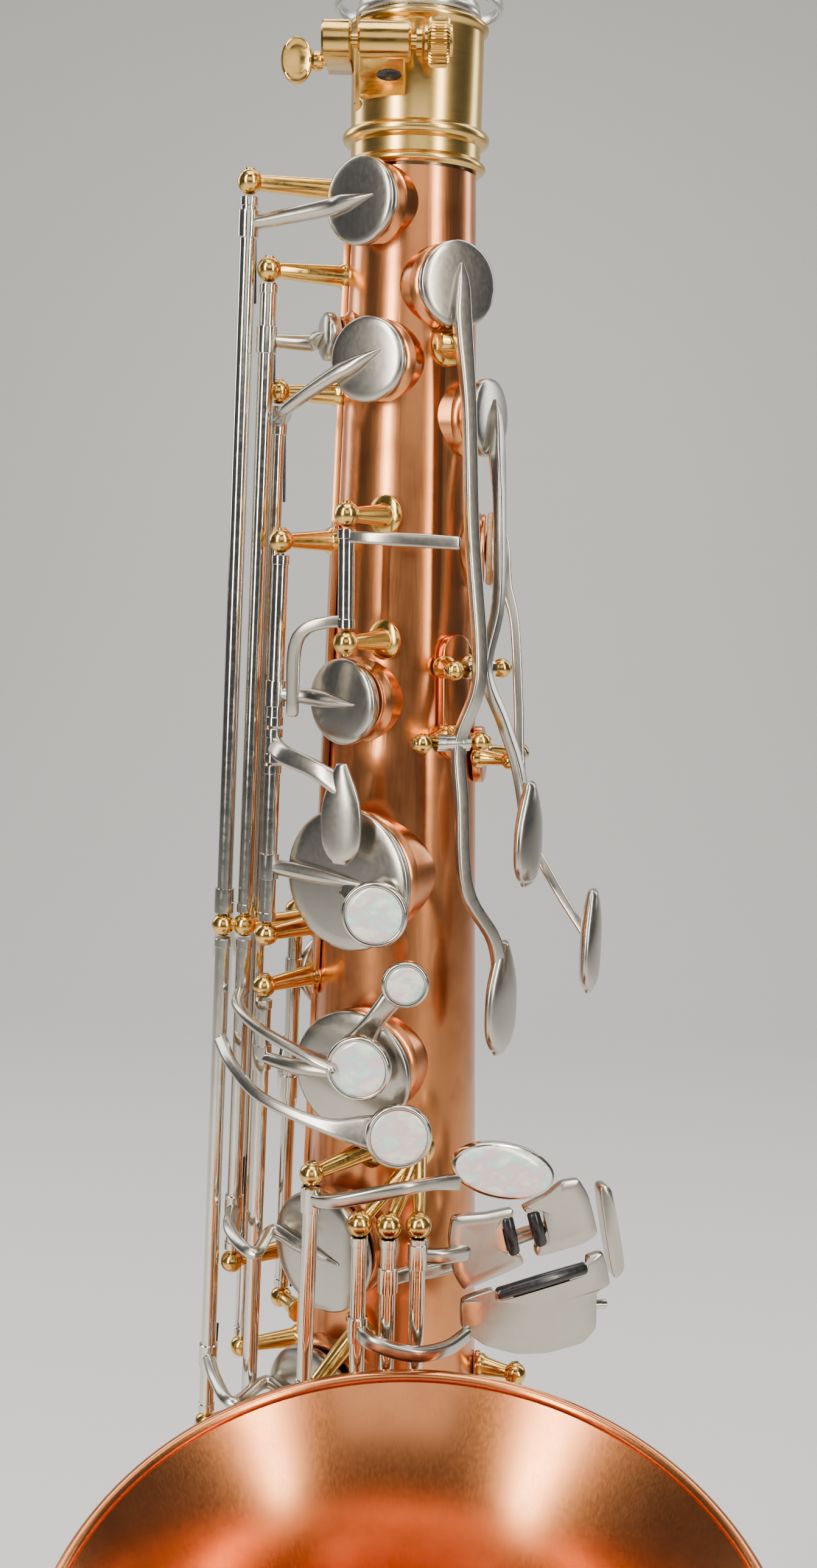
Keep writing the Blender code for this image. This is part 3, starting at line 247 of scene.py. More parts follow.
def ellipse(right, up, count):
    """Points round an ellipse with these half sizes."""
    return [(right * math.cos(2 * math.pi * k / count), up * math.sin(2 * math.pi * k / count)) for k in range(count)]


def arc(centre, radius, start, end, steps=6):
    """Points of an arc, as (radius, height) pairs or a plate's outline."""
    cx, cy = centre
    turns = [math.radians(mix(start, end, i / steps)) for i in range(steps + 1)]
    return [(cx + radius * math.cos(a), cy + radius * math.sin(a)) for a in turns]


def frames_along(points, ups, tangents=None):
    """Point, side and normal along a path. `ups` is one direction, carried along, or one for each point."""
    frames = []
    last = len(points) - 1
    normal = None
    for i, point in enumerate(points):
        tangent = (tangents[i] if tangents else points[min(i + 1, last)] - points[max(i - 1, 0)]).normalized()
        guide = ups[i] if isinstance(ups, list) else (ups if normal is None else normal)
        normal = guide - tangent * guide.dot(tangent)
        if normal.length < 1e-6:
            normal = tangent.orthogonal()
        normal.normalize()
        frames.append((point, normal.cross(tangent), normal, tangent))
    return frames


def section(sides, power):
    """A round (power 2) to nearly square (power 6) section of half size 1."""
    spots = []
    for k in range(sides):
        a = 2 * math.pi * (k + 0.5) / sides
        c, s = math.cos(a), math.sin(a)
        spots.append((math.copysign(abs(c) ** (2 / power), c), math.copysign(abs(s) ** (2 / power), s)))
    return spots


def skinned(frames, widths, thicks, spots):
    """A closed bar through the given frames."""
    verts, faces = [], []
    sides = len(spots)
    for (point, side, normal, _), w, t in zip(frames, widths, thicks):
        verts += [point + side * (w * x) + normal * (t * y) for x, y in spots]
    for i in range(len(frames) - 1):
        for k in range(sides):
            n = (k + 1) % sides
            faces.append((i * sides + k, i * sides + n, (i + 1) * sides + n, (i + 1) * sides + k))
    faces.append(tuple(reversed(range(sides))))
    faces.append(tuple((len(frames) - 1) * sides + k for k in range(sides)))
    return verts, faces


def limb(points, widths, thicks, up, sides=20, power=2.6, steps=6):
    """A forged arm along a smooth path; half widths and thicknesses go with the points. Its ends are rounded."""
    path = smooth([Vector(p) for p in points], steps)
    spread = lambda values: smooth(values if isinstance(values, (list, tuple)) else [values] * len(points), steps)
    wide, thick = spread(widths), spread(thicks)
    ups = smooth([u.normalized() for u in up], steps) if isinstance(up, list) else up
    frames = frames_along(path, ups)
    for end in (0, -1):
        point, side, normal, tangent = frames[end]
        away = tangent * (-1 if end == 0 else 1)
        reach, w, t = min(thick[end], wide[end]), wide[end], thick[end]
        for turn in (0.45, 0.8, 0.98):
            cap = (point + away * (reach * turn), side, normal, tangent)
            shrink = math.sqrt(1 - turn * turn)
            place = 0 if end == 0 else len(frames)
            frames.insert(place, cap)
            wide.insert(place, w - reach * (1 - shrink) if w > reach else w * shrink)
            thick.insert(place, t * shrink)
    return skinned(frames, wide, thick, section(sides, power))


def rod(start, end, radius=ROD_R, sides=28, chamfer=0.25):
    """A hinge tube with eased ends."""
    length = (end - start).length
    profile = [(0, 0), (radius - chamfer, 0), (radius, chamfer), (radius, length - chamfer),
               (radius - chamfer, length), (0, length)]
    return turned(profile, start, end - start, sides)


def ball(centre, radius, rings=14):
    profile = [(radius * math.sin(math.pi * i / rings), -radius * math.cos(math.pi * i / rings))
               for i in range(rings + 1)]
    profile[0], profile[-1] = (0, -radius), (0, radius)
    return turned(profile, centre, UP, 2 * rings)


def slab(outline, thickness, origin, right, face, round_off=0.45, dish=0.0):
    """A plate from an outline, its edges eased. `face` is its outer side; `dish` sinks the middle of that side."""
    face = face.normalized()
    right = (right - face * right.dot(face)).normalized()
    high = face.cross(right)
    count = len(outline)
    mid = (sum(x for x, _ in outline) / count, sum(y for _, y in outline) / count)
    size = max(math.hypot(x - mid[0], y - mid[1]) for x, y in outline)
    rows = [(round_off, 0), (round_off * 0.3, round_off * 0.3), (0, round_off)]
    rows += [(0, thickness - round_off), (round_off * 0.3, thickness - round_off * 0.3), (round_off, thickness)]
    if dish:
        rows += [(mix(round_off, size, 0.3), thickness - dish * 0.6), (mix(round_off, size, 0.65), thickness - dish)]
    verts = []
    for inset, lift in rows:
        for x, y in outline:
            k = 1 - inset / size
            verts.append(origin + right * mix(mid[0], x, k) + high * mix(mid[1], y, k) + face * lift)
    faces = [tuple(reversed(range(count))), tuple((len(rows) - 1) * count + k for k in range(count))]
    for i in range(len(rows) - 1):
        for k in range(count):
            n = (k + 1) % count
            faces.append((i * count + k, i * count + n, (i + 1) * count + n, (i + 1) * count + k))
    return verts, faces


def hoop(centre, direction, radius, thick, sides=64, ring=12, height=None):
    """A wire ring (or a band, if a height is given) round a line."""
    half = (height or thick) / 2
    profile = [(radius + thick / 2 + thick / 2 * math.cos(2 * math.pi * k / ring),
                half * math.sin(2 * math.pi * k / ring)) for k in range(ring)]
    return turned(profile + profile[:1], centre, direction, sides)


def about(piece, pivot, axis, degrees):
    """The piece turned about a line."""
    turn = Quaternion(axis, math.radians(degrees))
    return [pivot + turn @ (v - pivot) for v in piece[0]], piece[1]


# ---------------------------------------------------------------- materials


class Surface:
    """A Principled material, with helpers for the textures that drive its colour, roughness and bump."""

    def __init__(self, name, colour, roughness, metallic=0.0, **sockets):
        self.mat = bpy.data.materials.new(name)
        self.mat.use_nodes = True
        self.tree = self.mat.node_tree
        self.shader = self.tree.nodes["Principled BSDF"]
        self.colour = colour
        self.roughness = roughness
        self.set("Base Color", (*colour, 1))
        self.set("Roughness", roughness)
        self.set("Metallic", metallic)
        for socket, value in sockets.items():
            self.set(socket.replace("_", " "), value)
        self.coords = None

    def set(self, socket, value):
        self.shader.inputs[socket].default_value = value

    def link(self, source, target):
        self.tree.links.new(source, target)

    def where(self, stretch=(1, 1, 1)):
        """Object coordinates in millimetres, squeezed by `stretch`."""
        if self.coords is None:
            self.coords = self.tree.nodes.new("ShaderNodeTexCoord")
        mapping = self.tree.nodes.new("ShaderNodeMapping")
        mapping.inputs["Scale"].default_value = [s / MM for s in stretch]
        self.link(self.coords.outputs["Object"], mapping.inputs["Vector"])
        return mapping.outputs["Vector"]

    def noise(self, scale, stretch=(1, 1, 1), detail=4.0, rough=0.55):
        noise = self.tree.nodes.new("ShaderNodeTexNoise")
        noise.inputs["Scale"].default_value = scale
        noise.inputs["Detail"].default_value = detail
        noise.inputs["Roughness"].default_value = rough
        self.link(self.where(stretch), noise.inputs["Vector"])
        return noise.outputs["Fac"]

    def ramp(self, source, stops):
        """Maps a value through (position, colour or number) stops."""
        ramp = self.tree.nodes.new("ShaderNodeValToRGB")
        elements = ramp.color_ramp.elements
        while len(elements) < len(stops):
            elements.new(0.5)
        for element, (place, value) in zip(elements, stops):
            element.position = place
            element.color = (*value, 1) if isinstance(value, tuple) else (value, value, value, 1)
        self.link(source, ramp.inputs["Fac"])
        return ramp.outputs["Color"]

    def paint(self, source, stops):
        self.link(self.ramp(source, stops), self.shader.inputs["Base Color"])

    def rough(self, source, low, high, start=0.35, end=0.65):
        self.link(self.ramp(source, [(start, low), (end, high)]), self.shader.inputs["Roughness"])

    def bump(self, source, depth_mm, strength=1.0):
        bump = self.tree.nodes.new("ShaderNodeBump")
        bump.inputs["Strength"].default_value = strength
        bump.inputs["Distance"].default_value = depth_mm * MM
        self.link(source, bump.inputs["Height"])
        self.link(bump.outputs["Normal"], self.shader.inputs["Normal"])


def shade(colour, k):
    return tuple(min(1, c * k) for c in colour)


def brushed(name, colour, roughness, stretch, depth=0.03, tone=0.12, coat=0.0, patina=None):
    """Brushed metal: fine grooves across `stretch`'s long axes, cloudy tone, and spots where lacquer has aged."""
    s = Surface(name, colour, roughness, 1.0)
    grain = s.noise(1.6, stretch, 2.0, 0.5)
    cloud = s.noise(0.045, (1, 1, 1), 5.0, 0.6)
    dark = patina or shade(colour, 1 - 1.8 * tone)
    s.paint(cloud, [(0.25, dark), (0.5, colour), (0.8, shade(colour, 1 + tone))])
    s.rough(grain, roughness - 0.015, roughness + 0.02)
    s.bump(grain, depth)
    if coat:
        s.set("Coat Weight", coat)
        s.set("Coat Roughness", 0.12)
    return s.mat


def polished(name, colour, roughness, tone=0.06):
    """Polished metal with hairline scratches and slight unevenness in its shine."""
    s = Surface(name, colour, roughness, 1.0)
    scratch = s.noise(0.5, (0.35, 3.0, 1.4), 2.0, 0.7)
    cloud = s.noise(0.08, (1, 1, 1), 4.0, 0.6)
    s.paint(cloud, [(0.3, shade(colour, 1 - 1.5 * tone)), (0.55, colour), (0.8, shade(colour, 1 + tone))])
    s.rough(scratch, roughness * 0.8, roughness * 1.5)
    s.bump(scratch, 0.0015)
    return s.mat


def pearl_surface():
    s = Surface("mother_of_pearl", (0.83, 0.84, 0.80), 0.16, 0.0, Coat_Weight=0.6, Coat_Roughness=0.05,
                Specular_IOR_Level=0.7)
    waves = s.noise(0.10, (1.0, 1.0, 1.6), 4.0, 0.55)
    s.paint(waves, [(0.30, (0.42, 0.56, 0.54)), (0.41, (0.80, 0.84, 0.74)), (0.50, (0.72, 0.56, 0.60)),
                    (0.57, (0.52, 0.74, 0.72)), (0.66, (0.95, 0.93, 0.84)), (0.76, (0.74, 0.66, 0.76))])
    s.bump(s.noise(0.5, (1, 1, 2), 2.0), 0.01)
    return s.mat


def plain_surface(name, colour, roughness, grain, depth, tone=0.25, **sockets):
    """A matt, grained surface such as leather, cork, felt or horn."""
    s = Surface(name, colour, roughness, 0.0, **sockets)
    speck = s.noise(grain, (1, 1, 1), 6.0, 0.65)
    s.paint(speck, [(0.32, shade(colour, 1 - tone)), (0.5, colour), (0.7, shade(colour, 1 + tone))])
    s.rough(speck, max(0.05, roughness - 0.08), min(1.0, roughness + 0.08))
    s.bump(speck, depth)
    return s.mat


ALONG = (2.2, 2.2, 0.05)  # grooves that run up the piece
ROUND = (0.10, 0.10, 4.0)  # grooves that run round it
COPPER = brushed("copper_tube", (0.70, 0.27, 0.10), 0.25, ALONG, 0.0005, 0.08, coat=0.15, patina=(0.46, 0.15, 0.055))
COPPER_BELL = brushed("copper_bell", (0.68, 0.25, 0.09), 0.24, (1.2, 1.2, 0.3), 0.0003, 0.08, coat=0.25,
                      patina=(0.50, 0.17, 0.06))
BRASS_TUBE = brushed("brass_tube", (0.74, 0.49, 0.16), 0.24, ROUND, 0.0015, 0.10, patina=(0.46, 0.27, 0.07))
BRASS = polished("brass_polished", (0.80, 0.50, 0.14), 0.17, 0.10)
SATIN = brushed("nickel_satin", (0.50, 0.475, 0.42), 0.25, (0.8, 0.8, 0.5), 0.00005, 0.05)
NICKEL = polished("nickel_polished", (0.66, 0.63, 0.56), 0.12)
SILVER = brushed("silver_satin", (0.76, 0.75, 0.71), 0.26, (0.6, 0.6, 0.6), 0.001, 0.05)
PEARL = pearl_surface()
# Black horn for the rollers and the thumb rest; the same black is also painted shade in the screw slots and in the hole
# under the clamp socket
HORN_AND_PAINTED_SHADE = plain_surface("black_horn_and_painted_shade", (0.016, 0.016, 0.018), 0.24, 0.6, 0.01)
LEATHER = plain_surface("pad_leather", (0.50, 0.29, 0.15), 0.55, 0.8, 0.03)
CORK = plain_surface("cork", (0.50, 0.32, 0.17), 0.85, 0.45, 0.10, 0.45)
BLUED = polished("blued_steel", (0.05, 0.055, 0.08), 0.24)
RESIN = plain_surface("resonator", (0.24, 0.14, 0.07), 0.35, 0.5, 0.01)


# ---------------------------------------------------------------- pieces


def make(name, shapes, body, stands_for=(), hard=40.0):
    """One piece from (shape, material) pairs. It rides on a body and can stand for CAD nodes."""
    mesh = bpy.data.meshes.new(name)
    verts, faces, owners, mats = [], [], [], []
    for (points, polygons), mat in shapes:
        if mat not in mats:
            mats.append(mat)
        base = len(verts)
        verts += [to_frame(Vector(v)) for v in points]
        faces += [tuple(base + k for k in face) for face in polygons]
        owners += [mats.index(mat)] * len(polygons)
    mesh.from_pydata(verts, [], faces)
    for mat in mats:
        mesh.materials.append(mat)
    mesh.polygons.foreach_set("material_index", owners)
    mesh.update()
    mesh.shade_smooth()
    mesh.set_sharp_from_angle(angle=math.radians(hard))
    obj = bpy.data.objects.new(name, mesh)
    bpy.context.collection.objects.link(obj)
    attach(obj, body)
    if stands_for:
        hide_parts(*stands_for)
    return obj


def cut(obj, cutters):
    """Takes the cutters' shapes out of a piece, and removes them."""
    tools = bpy.data.collections.new("cutters")
    bpy.context.scene.collection.children.link(tools)
    for shape in cutters:
        mesh = bpy.data.meshes.new("cutter")
        mesh.from_pydata([to_frame(v) for v in shape[0]], [], shape[1])
        tools.objects.link(bpy.data.objects.new("cutter", mesh))
    modifier = obj.modifiers.new("holes", "BOOLEAN")
    modifier.operation = "DIFFERENCE"
    modifier.operand_type = "COLLECTION"
    modifier.collection = tools
    modifier.solver = "EXACT"
    obj.data = bpy.data.meshes.new_from_object(obj.evaluated_get(bpy.context.evaluated_depsgraph_get()))
    obj.modifiers.clear()
    for tool in list(tools.objects):
        bpy.data.objects.remove(tool)
    bpy.data.collections.remove(tools)
    obj.data.shade_smooth()
    obj.data.set_sharp_from_angle(angle=math.radians(35))


def hollow_run(points, radii, sides, tangents, wall=WALL):
    """An open tube along a path: outside, inside and the two end rims."""
    frames = frames_along(points, ACROSS, tangents)
    verts, faces = [], []
    count = len(frames)
    spots = section(sides, 2)
    for shrink in (0, wall):
        for (point, side, normal, _), r in zip(frames, radii):
            verts += [point + side * ((r - shrink) * x) + normal * ((r - shrink) * y) for x, y in spots]
    inner = count * sides
    for i in range(count - 1):
        for k in range(sides):
            n = (k + 1) % sides
            a, b, c, d = i * sides + k, i * sides + n, (i + 1) * sides + n, (i + 1) * sides + k
            faces += [(a, b, c, d), (inner + d, inner + c, inner + b, inner + a)]
    last = (count - 1) * sides
    for k in range(sides):
        n = (k + 1) % sides
        faces.append((inner + k, inner + n, n, k))
        faces.append((last + k, last + n, inner + last + n, inner + last + k))
    return verts, faces


def chimney(base, direction, hole_r, height, sunk):
    """A drawn tone hole: flared at its foot, with a rolled lip."""
    r = hole_r + WALL
    lip = arc((hole_r + 0.45, height - 0.45), 0.5, -30, 180, 6)
    profile = [(r + 2.0, -sunk), (r + 1.6, 0.0), (r + 0.7, 0.45), (r + 0.15, 1.1), (r, height - 0.9), *lip,
               (hole_r, -sunk), (r + 2.0, -sunk)]
    return turned(profile, base, direction, 48)


def body_tube():
    rows = 24
    depths = [mix(TUBE_TOP, TUBE_END, i / rows) for i in range(rows + 1)]
    shell = hollow_run([Vector((0, 0, -d)) for d in depths], [tube_r(d) for d in depths], 96, [-UP] * (rows + 1))
    obj = make("body_tube_skin", [(shell, COPPER)], "body", ("body_tube",))
    cutters = []
    for angle, depth, hole_r, _ in HOLES.values():
        cutters.append(turned([(0, 0), (hole_r, 0), (hole_r, 30), (0, 30)], at(angle, 4, depth), outward(angle), 48))
    cut(obj, cutters)
    shapes = []
    for angle, depth, hole_r, _ in HOLES.values():
        sag = tube_r(depth) - math.sqrt(max(1, tube_r(depth) ** 2 - (hole_r + 2.8) ** 2))
        shapes.append((chimney(on_tube(angle, 0, depth), outward(angle), hole_r, CHIMNEY, sag + 0.3), COPPER))
    pip = on_tube(180, -1.5, 74)
    shapes.append((turned([(3.6, 0), (3.4, 2.0), (2.4, 2.8), (2.3, 4.6), (1.9, 5.0), (1.1, 5.0), (1.1, 0), (3.6, 0)],
                          pip, outward(180), 32), BRASS))
    make("tone_hole_chimneys", shapes, "body")


def bow():
    steps = 28
    turns = [180 * i / steps for i in range(steps + 1)]
    tangents = [Vector((0, -math.sin(math.radians(t)), -math.cos(math.radians(t)))) for t in turns]
    shell = hollow_run([bow_centre(t) for t in turns], [bow_r(t / 180) for t in turns], 96, tangents)
    obj = make("bow_skin", [(shell, COPPER)], "body", ("bow",))
    degrees, hole_r, _ = BOW_HOLE
    centre = bow_centre(degrees)
    cut(obj, [turned([(0, 0), (hole_r, 0), (hole_r, 60), (0, 60)], centre - ACROSS * 4, -ACROSS, 48)])
    reach = bow_r(degrees / 180)
    stub = chimney(centre - ACROSS * reach, -ACROSS, hole_r, CHIMNEY, 5.2)
    wear = slab(ellipse(11.2, 18.2, 40), 0.9, bow_centre(90) + Vector((0, 0, -bow_r(0.5) - 0.35)), ACROSS, -UP, 0.3)
    make("bow_tone_hole", [(stub, COPPER)], "body")
    make("bow_wear_plate", [(wear, BRASS_TUBE)], "body")


def bell():
    steps = 60
    shares = [1 - (1 - i / steps) ** 1.5 for i in range(steps + 1)]
    leans = [BELL_TILT * s ** 2 for s in shares]
    tangents = [Vector((0, -math.sin(a), math.cos(a))) for a in leans]
    shell = hollow_run([bell_centre(s) for s in shares], [bell_r(s) for s in shares], 144, tangents)
    obj = make("bell_skin", [(shell, COPPER_BELL)], "body", ("bell",), hard=60)
    out = BELL_HOLE_SIDE
    cutters, stubs = [], []
    for share, hole_r, _ in BELL_HOLES.values():
        centre, reach = bell_centre(share), bell_r(share)
        cutters.append(turned([(0, 0), (hole_r, 0), (hole_r, 60), (0, 60)], centre + out * 8, out, 48))
        stubs.append((chimney(centre + out * reach, out, hole_r, CHIMNEY, 4.6), COPPER_BELL))
    cut(obj, cutters)
    make("bell_tone_holes", stubs, "body")
    tilt = tangents[-1]
    roll = turned(arc((BELL_R - 0.3, 0.2), 1.5, -180, 180, 16), BELL_RIM, tilt, 144)
    make("bell_rim_roll", [(roll, COPPER_BELL)], "body")


def ferrules():
    for name, y, radius in (("upper", 0, tube_r(TUBE_END)), ("lower", -2 * BOW_R, BOW_END_R)):
        r = radius + 0.5
        profile = [(r, -3.4), (r + 1.2, -3.4), *arc((r + 1.5, -2.2), 0.8, -90, 60, 5),
                   (r + 1.5, -1.0), (r + 1.3, 0), (r + 1.5, 1.0), *arc((r + 1.5, 2.2), 0.8, -60, 90, 5),
                   (r + 1.2, 3.4), (r, 3.4), (r, -3.4)]
        band = turned(profile, Vector((0, y, -TUBE_END - 0.8)), UP, 96)
        make(name + "_bow_ferrule_band", [(band, BRASS)], "body", (name + "_bow_ferrule",))


def bell_brace():
    low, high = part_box("bell_brace")
    centre = (low + high) / 2 / MM - Vector((0, AXIS_Y, BEAD_Z))
    radius = (high.z - low.z) / 2 / MM - 2.4
    reach = (high.y - low.y) / 2 / MM
    hoop_shape = hoop(centre, ACROSS, radius, 2.4, 72, 16, height=4.6)
    shapes = [(hoop_shape, BRASS)]
    for sign in (-1, 1):
        foot = centre + Vector((0, sign * reach, 0))
        shapes.append((turned([(0, 0), (4.2, 0.1), (4.4, 0.8), (3.0, 1.6), (2.0, 2.6), (1.7, reach - radius), (0, 5)],
                              foot, Vector((0, -sign, 0)), 32), BRASS))
    make("bell_brace_ring", shapes, "body", ("bell_brace",))


def strap_ring():
    eye = on_tube(180, 8.0, 258)
    loop = hoop(eye, ACROSS, 4.4, 2.0, 48, 14, height=3.0)
    foot = slab([(x, y * 2.2) for x, y in arc((0, 0), 4.4, 0, 360, 32)[:-1]], 1.6, on_tube(180, GAP, 258), ACROSS,
                Vector((0, 1, 0)), 0.5)
    make("strap_ring_loop", [(loop, BRASS), (foot, BRASS)], "body", ("strap_ring",))


def thumb_pieces():
    base = on_tube(172, GAP, 229.5)
    rest = turned([(0, 0), (7.4, 0), (8.0, 0.6), (8.0, 1.6), (7.2, 2.2), (7.4, 3.0), (6.6, 3.6)], base, outward(172),
                  56)
    dome = turned([(6.7, 2.6), *[(6.7 * math.cos(a), 3.2 + 2.4 * math.sin(a)) for a in
                                (math.pi / 2 * k / 8 for k in range(8))], (0, 5.6)], base, outward(172), 56)
    make("thumb_rest_button", [(rest, BRASS), (dome, HORN_AND_PAINTED_SHADE)], "body", ("thumb_rest",))
    angle, depth = 186, 336
    out = outward(angle)
    plate = slab([(x, y * 2) for x, y in arc((0, 0), 6, 0, 360, 36)[:-1]], 1.8, on_tube(angle, GAP, depth),
                 out.cross(UP) * -1, out, 0.5)
    route = [on_tube(angle, 1.0, depth - 2), on_tube(angle, 8, depth - 4), on_tube(angle, 17, depth - 1),
             on_tube(angle, 22, depth + 7), on_tube(angle, 23, depth + 17)]
    hook = limb(route, [5.6, 5.0, 5.0, 5.2, 5.4], [1.5, 1.2, 1.1, 1.1, 1.0], UP, 28, 3.2)
    screw = turned([(0, 0), (2.4, 0), (2.4, 1.2), (1.9, 1.9), (0, 2.0)], on_tube(angle, 2.0, depth + 8), out, 28)
    make("thumb_hook_plate", [(hook, BRASS), (plate, BRASS), (screw, BRASS)], "body", ("thumb_hook",))



# ---------------------------------------------------------------- neck and its receiver

RECEIVER_R, RECEIVER_TOP = 15.5, 26.0
TENON_R = 12.8
CLAMP = Vector((0, -21.4, 16.2))  # a point on the clamp screw's line, which runs along X
LYRE = Vector((0, -13.0, 14.0))


def along_x(point, x):
    return Vector((x, point.y, point.z))


def box(low, high, round_off=0.5):
    outline = [(low[0], low[1]), (high[0], low[1]), (high[0], high[1]), (low[0], high[1])]
    return slab(outline, high[2] - low[2], Vector((0, 0, low[2])), ACROSS, UP, round_off)


def receiver():
    r, bore = RECEIVER_R, TENON_R + GAP
    profile = [(bore, -RECEIVER_FOOT), (r, -RECEIVER_FOOT), *arc((r + 0.1, -6.3), 0.9, -80, 80, 6), (r - 0.3, -4.8),
               (r - 0.3, -1.9), *arc((r + 0.2, 0), 1.5, -75, 75, 8), (r - 0.2, 1.9), (r - 0.2, 22.8),
               *arc((r, 24.4), 0.9, -70, 80, 6), (r - 0.7, RECEIVER_TOP), (bore + 0.4, RECEIVER_TOP),
               (bore, RECEIVER_TOP - 0.6), (bore, -RECEIVER_FOOT)]
    shell = make("neck_receiver_shell", [(turned(profile, Vector(), UP, 96), BRASS_TUBE)], "body", ("neck_receiver",))
    cut(shell, [box((-14.1, -26, 6), (-13.0, -5, 30)),
                turned([(0, 0), (1.2, 0), (1.2, 9), (0, 9)], Vector((-13.5, -14, 6)), Vector((0, 0.9, 0)), 24)])
    barrels = [turned([(1.8, 0), (3.8, 0), (4.3, 0.5), (4.3, length - 0.5), (3.8, length), (1.8, length), (1.8, 0)],
                      along_x(CLAMP, x), ACROSS, 48) for x, length in ((-20.8, 6.5), (-12.8, 11.6))]
    lugs = [box((-20.4, -21.4, 12.6), (-14.3, -6.0, 19.8), 1.0), box((-12.8, -21.4, 12.6), (-2.2, -9.0, 19.8), 1.0)]
    wedge = [(-15.6, 6.6), (-10.4, 6.6), (-10.4, 15.6), (-24.0, 15.6), (-24.0, 13.0)]
    socket = slab(wedge, 10.4, Vector((-12.8, 0, 0)), Vector((0, 1, 0)), ACROSS, 0.5)
    down = Vector((0, -0.606, -0.795))
    # A thin black ellipse on the socket's slanted underside stands for a hole there: painted shade, not a cut.
    hole = slab(ellipse(2.8, 1.5, 32), 0.12, Vector((-6.0, -19.6, 9.66)), ACROSS, down, 0.02)
    make("neck_receiver_clamp", [(barrels[0], BRASS), (barrels[1], BRASS), (lugs[0], BRASS), (lugs[1], BRASS),
                                 (socket, BRASS), (hole, HORN_AND_PAINTED_SHADE)], "body")


def knurled(radius, depth, start, end, base, direction, teeth=36):
    """A band with fine grooves along it."""
    verts, faces = [], []
    turn = UP.rotation_difference(direction)
    sides = teeth * 4
    reaches = [radius - depth * (k % 4 in (0, 3)) for k in range(sides)]
    for h, inset in ((start, 0.7), (start + 0.7, 0), (end - 0.7, 0), (end, 0.7)):
        for k, reach in enumerate(reaches):
            a = 2 * math.pi * k / sides
            verts.append(base + turn @ Vector(((reach - inset) * math.cos(a), (reach - inset) * math.sin(a), h)))
    for i in range(3):
        for k in range(sides):
            n = (k + 1) % sides
            faces.append((i * sides + k, i * sides + n, (i + 1) * sides + n, (i + 1) * sides + k))
    faces += [tuple(reversed(range(sides))), tuple(3 * sides + k for k in range(sides))]
    return verts, faces


def screws():
    shaft = rod(along_x(CLAMP, -18.4), along_x(CLAMP, 1.0), 1.5)
    collar = turned([(0, 0), (2.8, 0), (2.8, 1.2), (3.6, 1.8), (3.6, 2.4), (0, 2.4)], along_x(CLAMP, 0.0), ACROSS, 40)
    knob = knurled(5.2, 0.35, 2.2, 7.0, along_x(CLAMP, 0.3), ACROSS)
    cap = turned([(3.8, 6.6), (3.6, 7.5), (2.4, 7.7), (1.6, 7.2), (0, 7.0)], along_x(CLAMP, 0.3), ACROSS, 40)
    make("neck_clamp_screw_knob", [(shape, BRASS) for shape in (shaft, collar, knob, cap)], "neck_clamp_screw",
         ("neck_clamp_screw",))
    shaft = rod(along_x(LYRE, -24.2), along_x(LYRE, -17.2), 1.2)
    stem = turned([(0, 0), (1.5, 0.2), (2.1, 0.9), (2.1, 2.2), (1.7, 2.8), (0, 2.8)], along_x(LYRE, -23.9), ACROSS, 32)
    wing = slab(ellipse(3.6, 5.1, 32), 1.8,
                along_x(LYRE, -27.0) + Vector((0, 0.9, 0)), ACROSS, FORWARD, 0.7, 0.4)
    make("lyre_screw_wing", [(shape, BRASS) for shape in (shaft, stem, wing)], "lyre_screw", ("lyre_screw",))


NECK_ROUTE = [(0, -14), (0, 26), (1, 52), (10, 82), (36, 108), (76, 121), (118, 119), (158, 106), (192, 93)]
NECK_STEPS = 8
CORK_SHARE = 0.78
NECK_HINGE = Vector((0, -16.2, 60.0))
LOOP_R, LOOP_Z = 19.4, 29.6


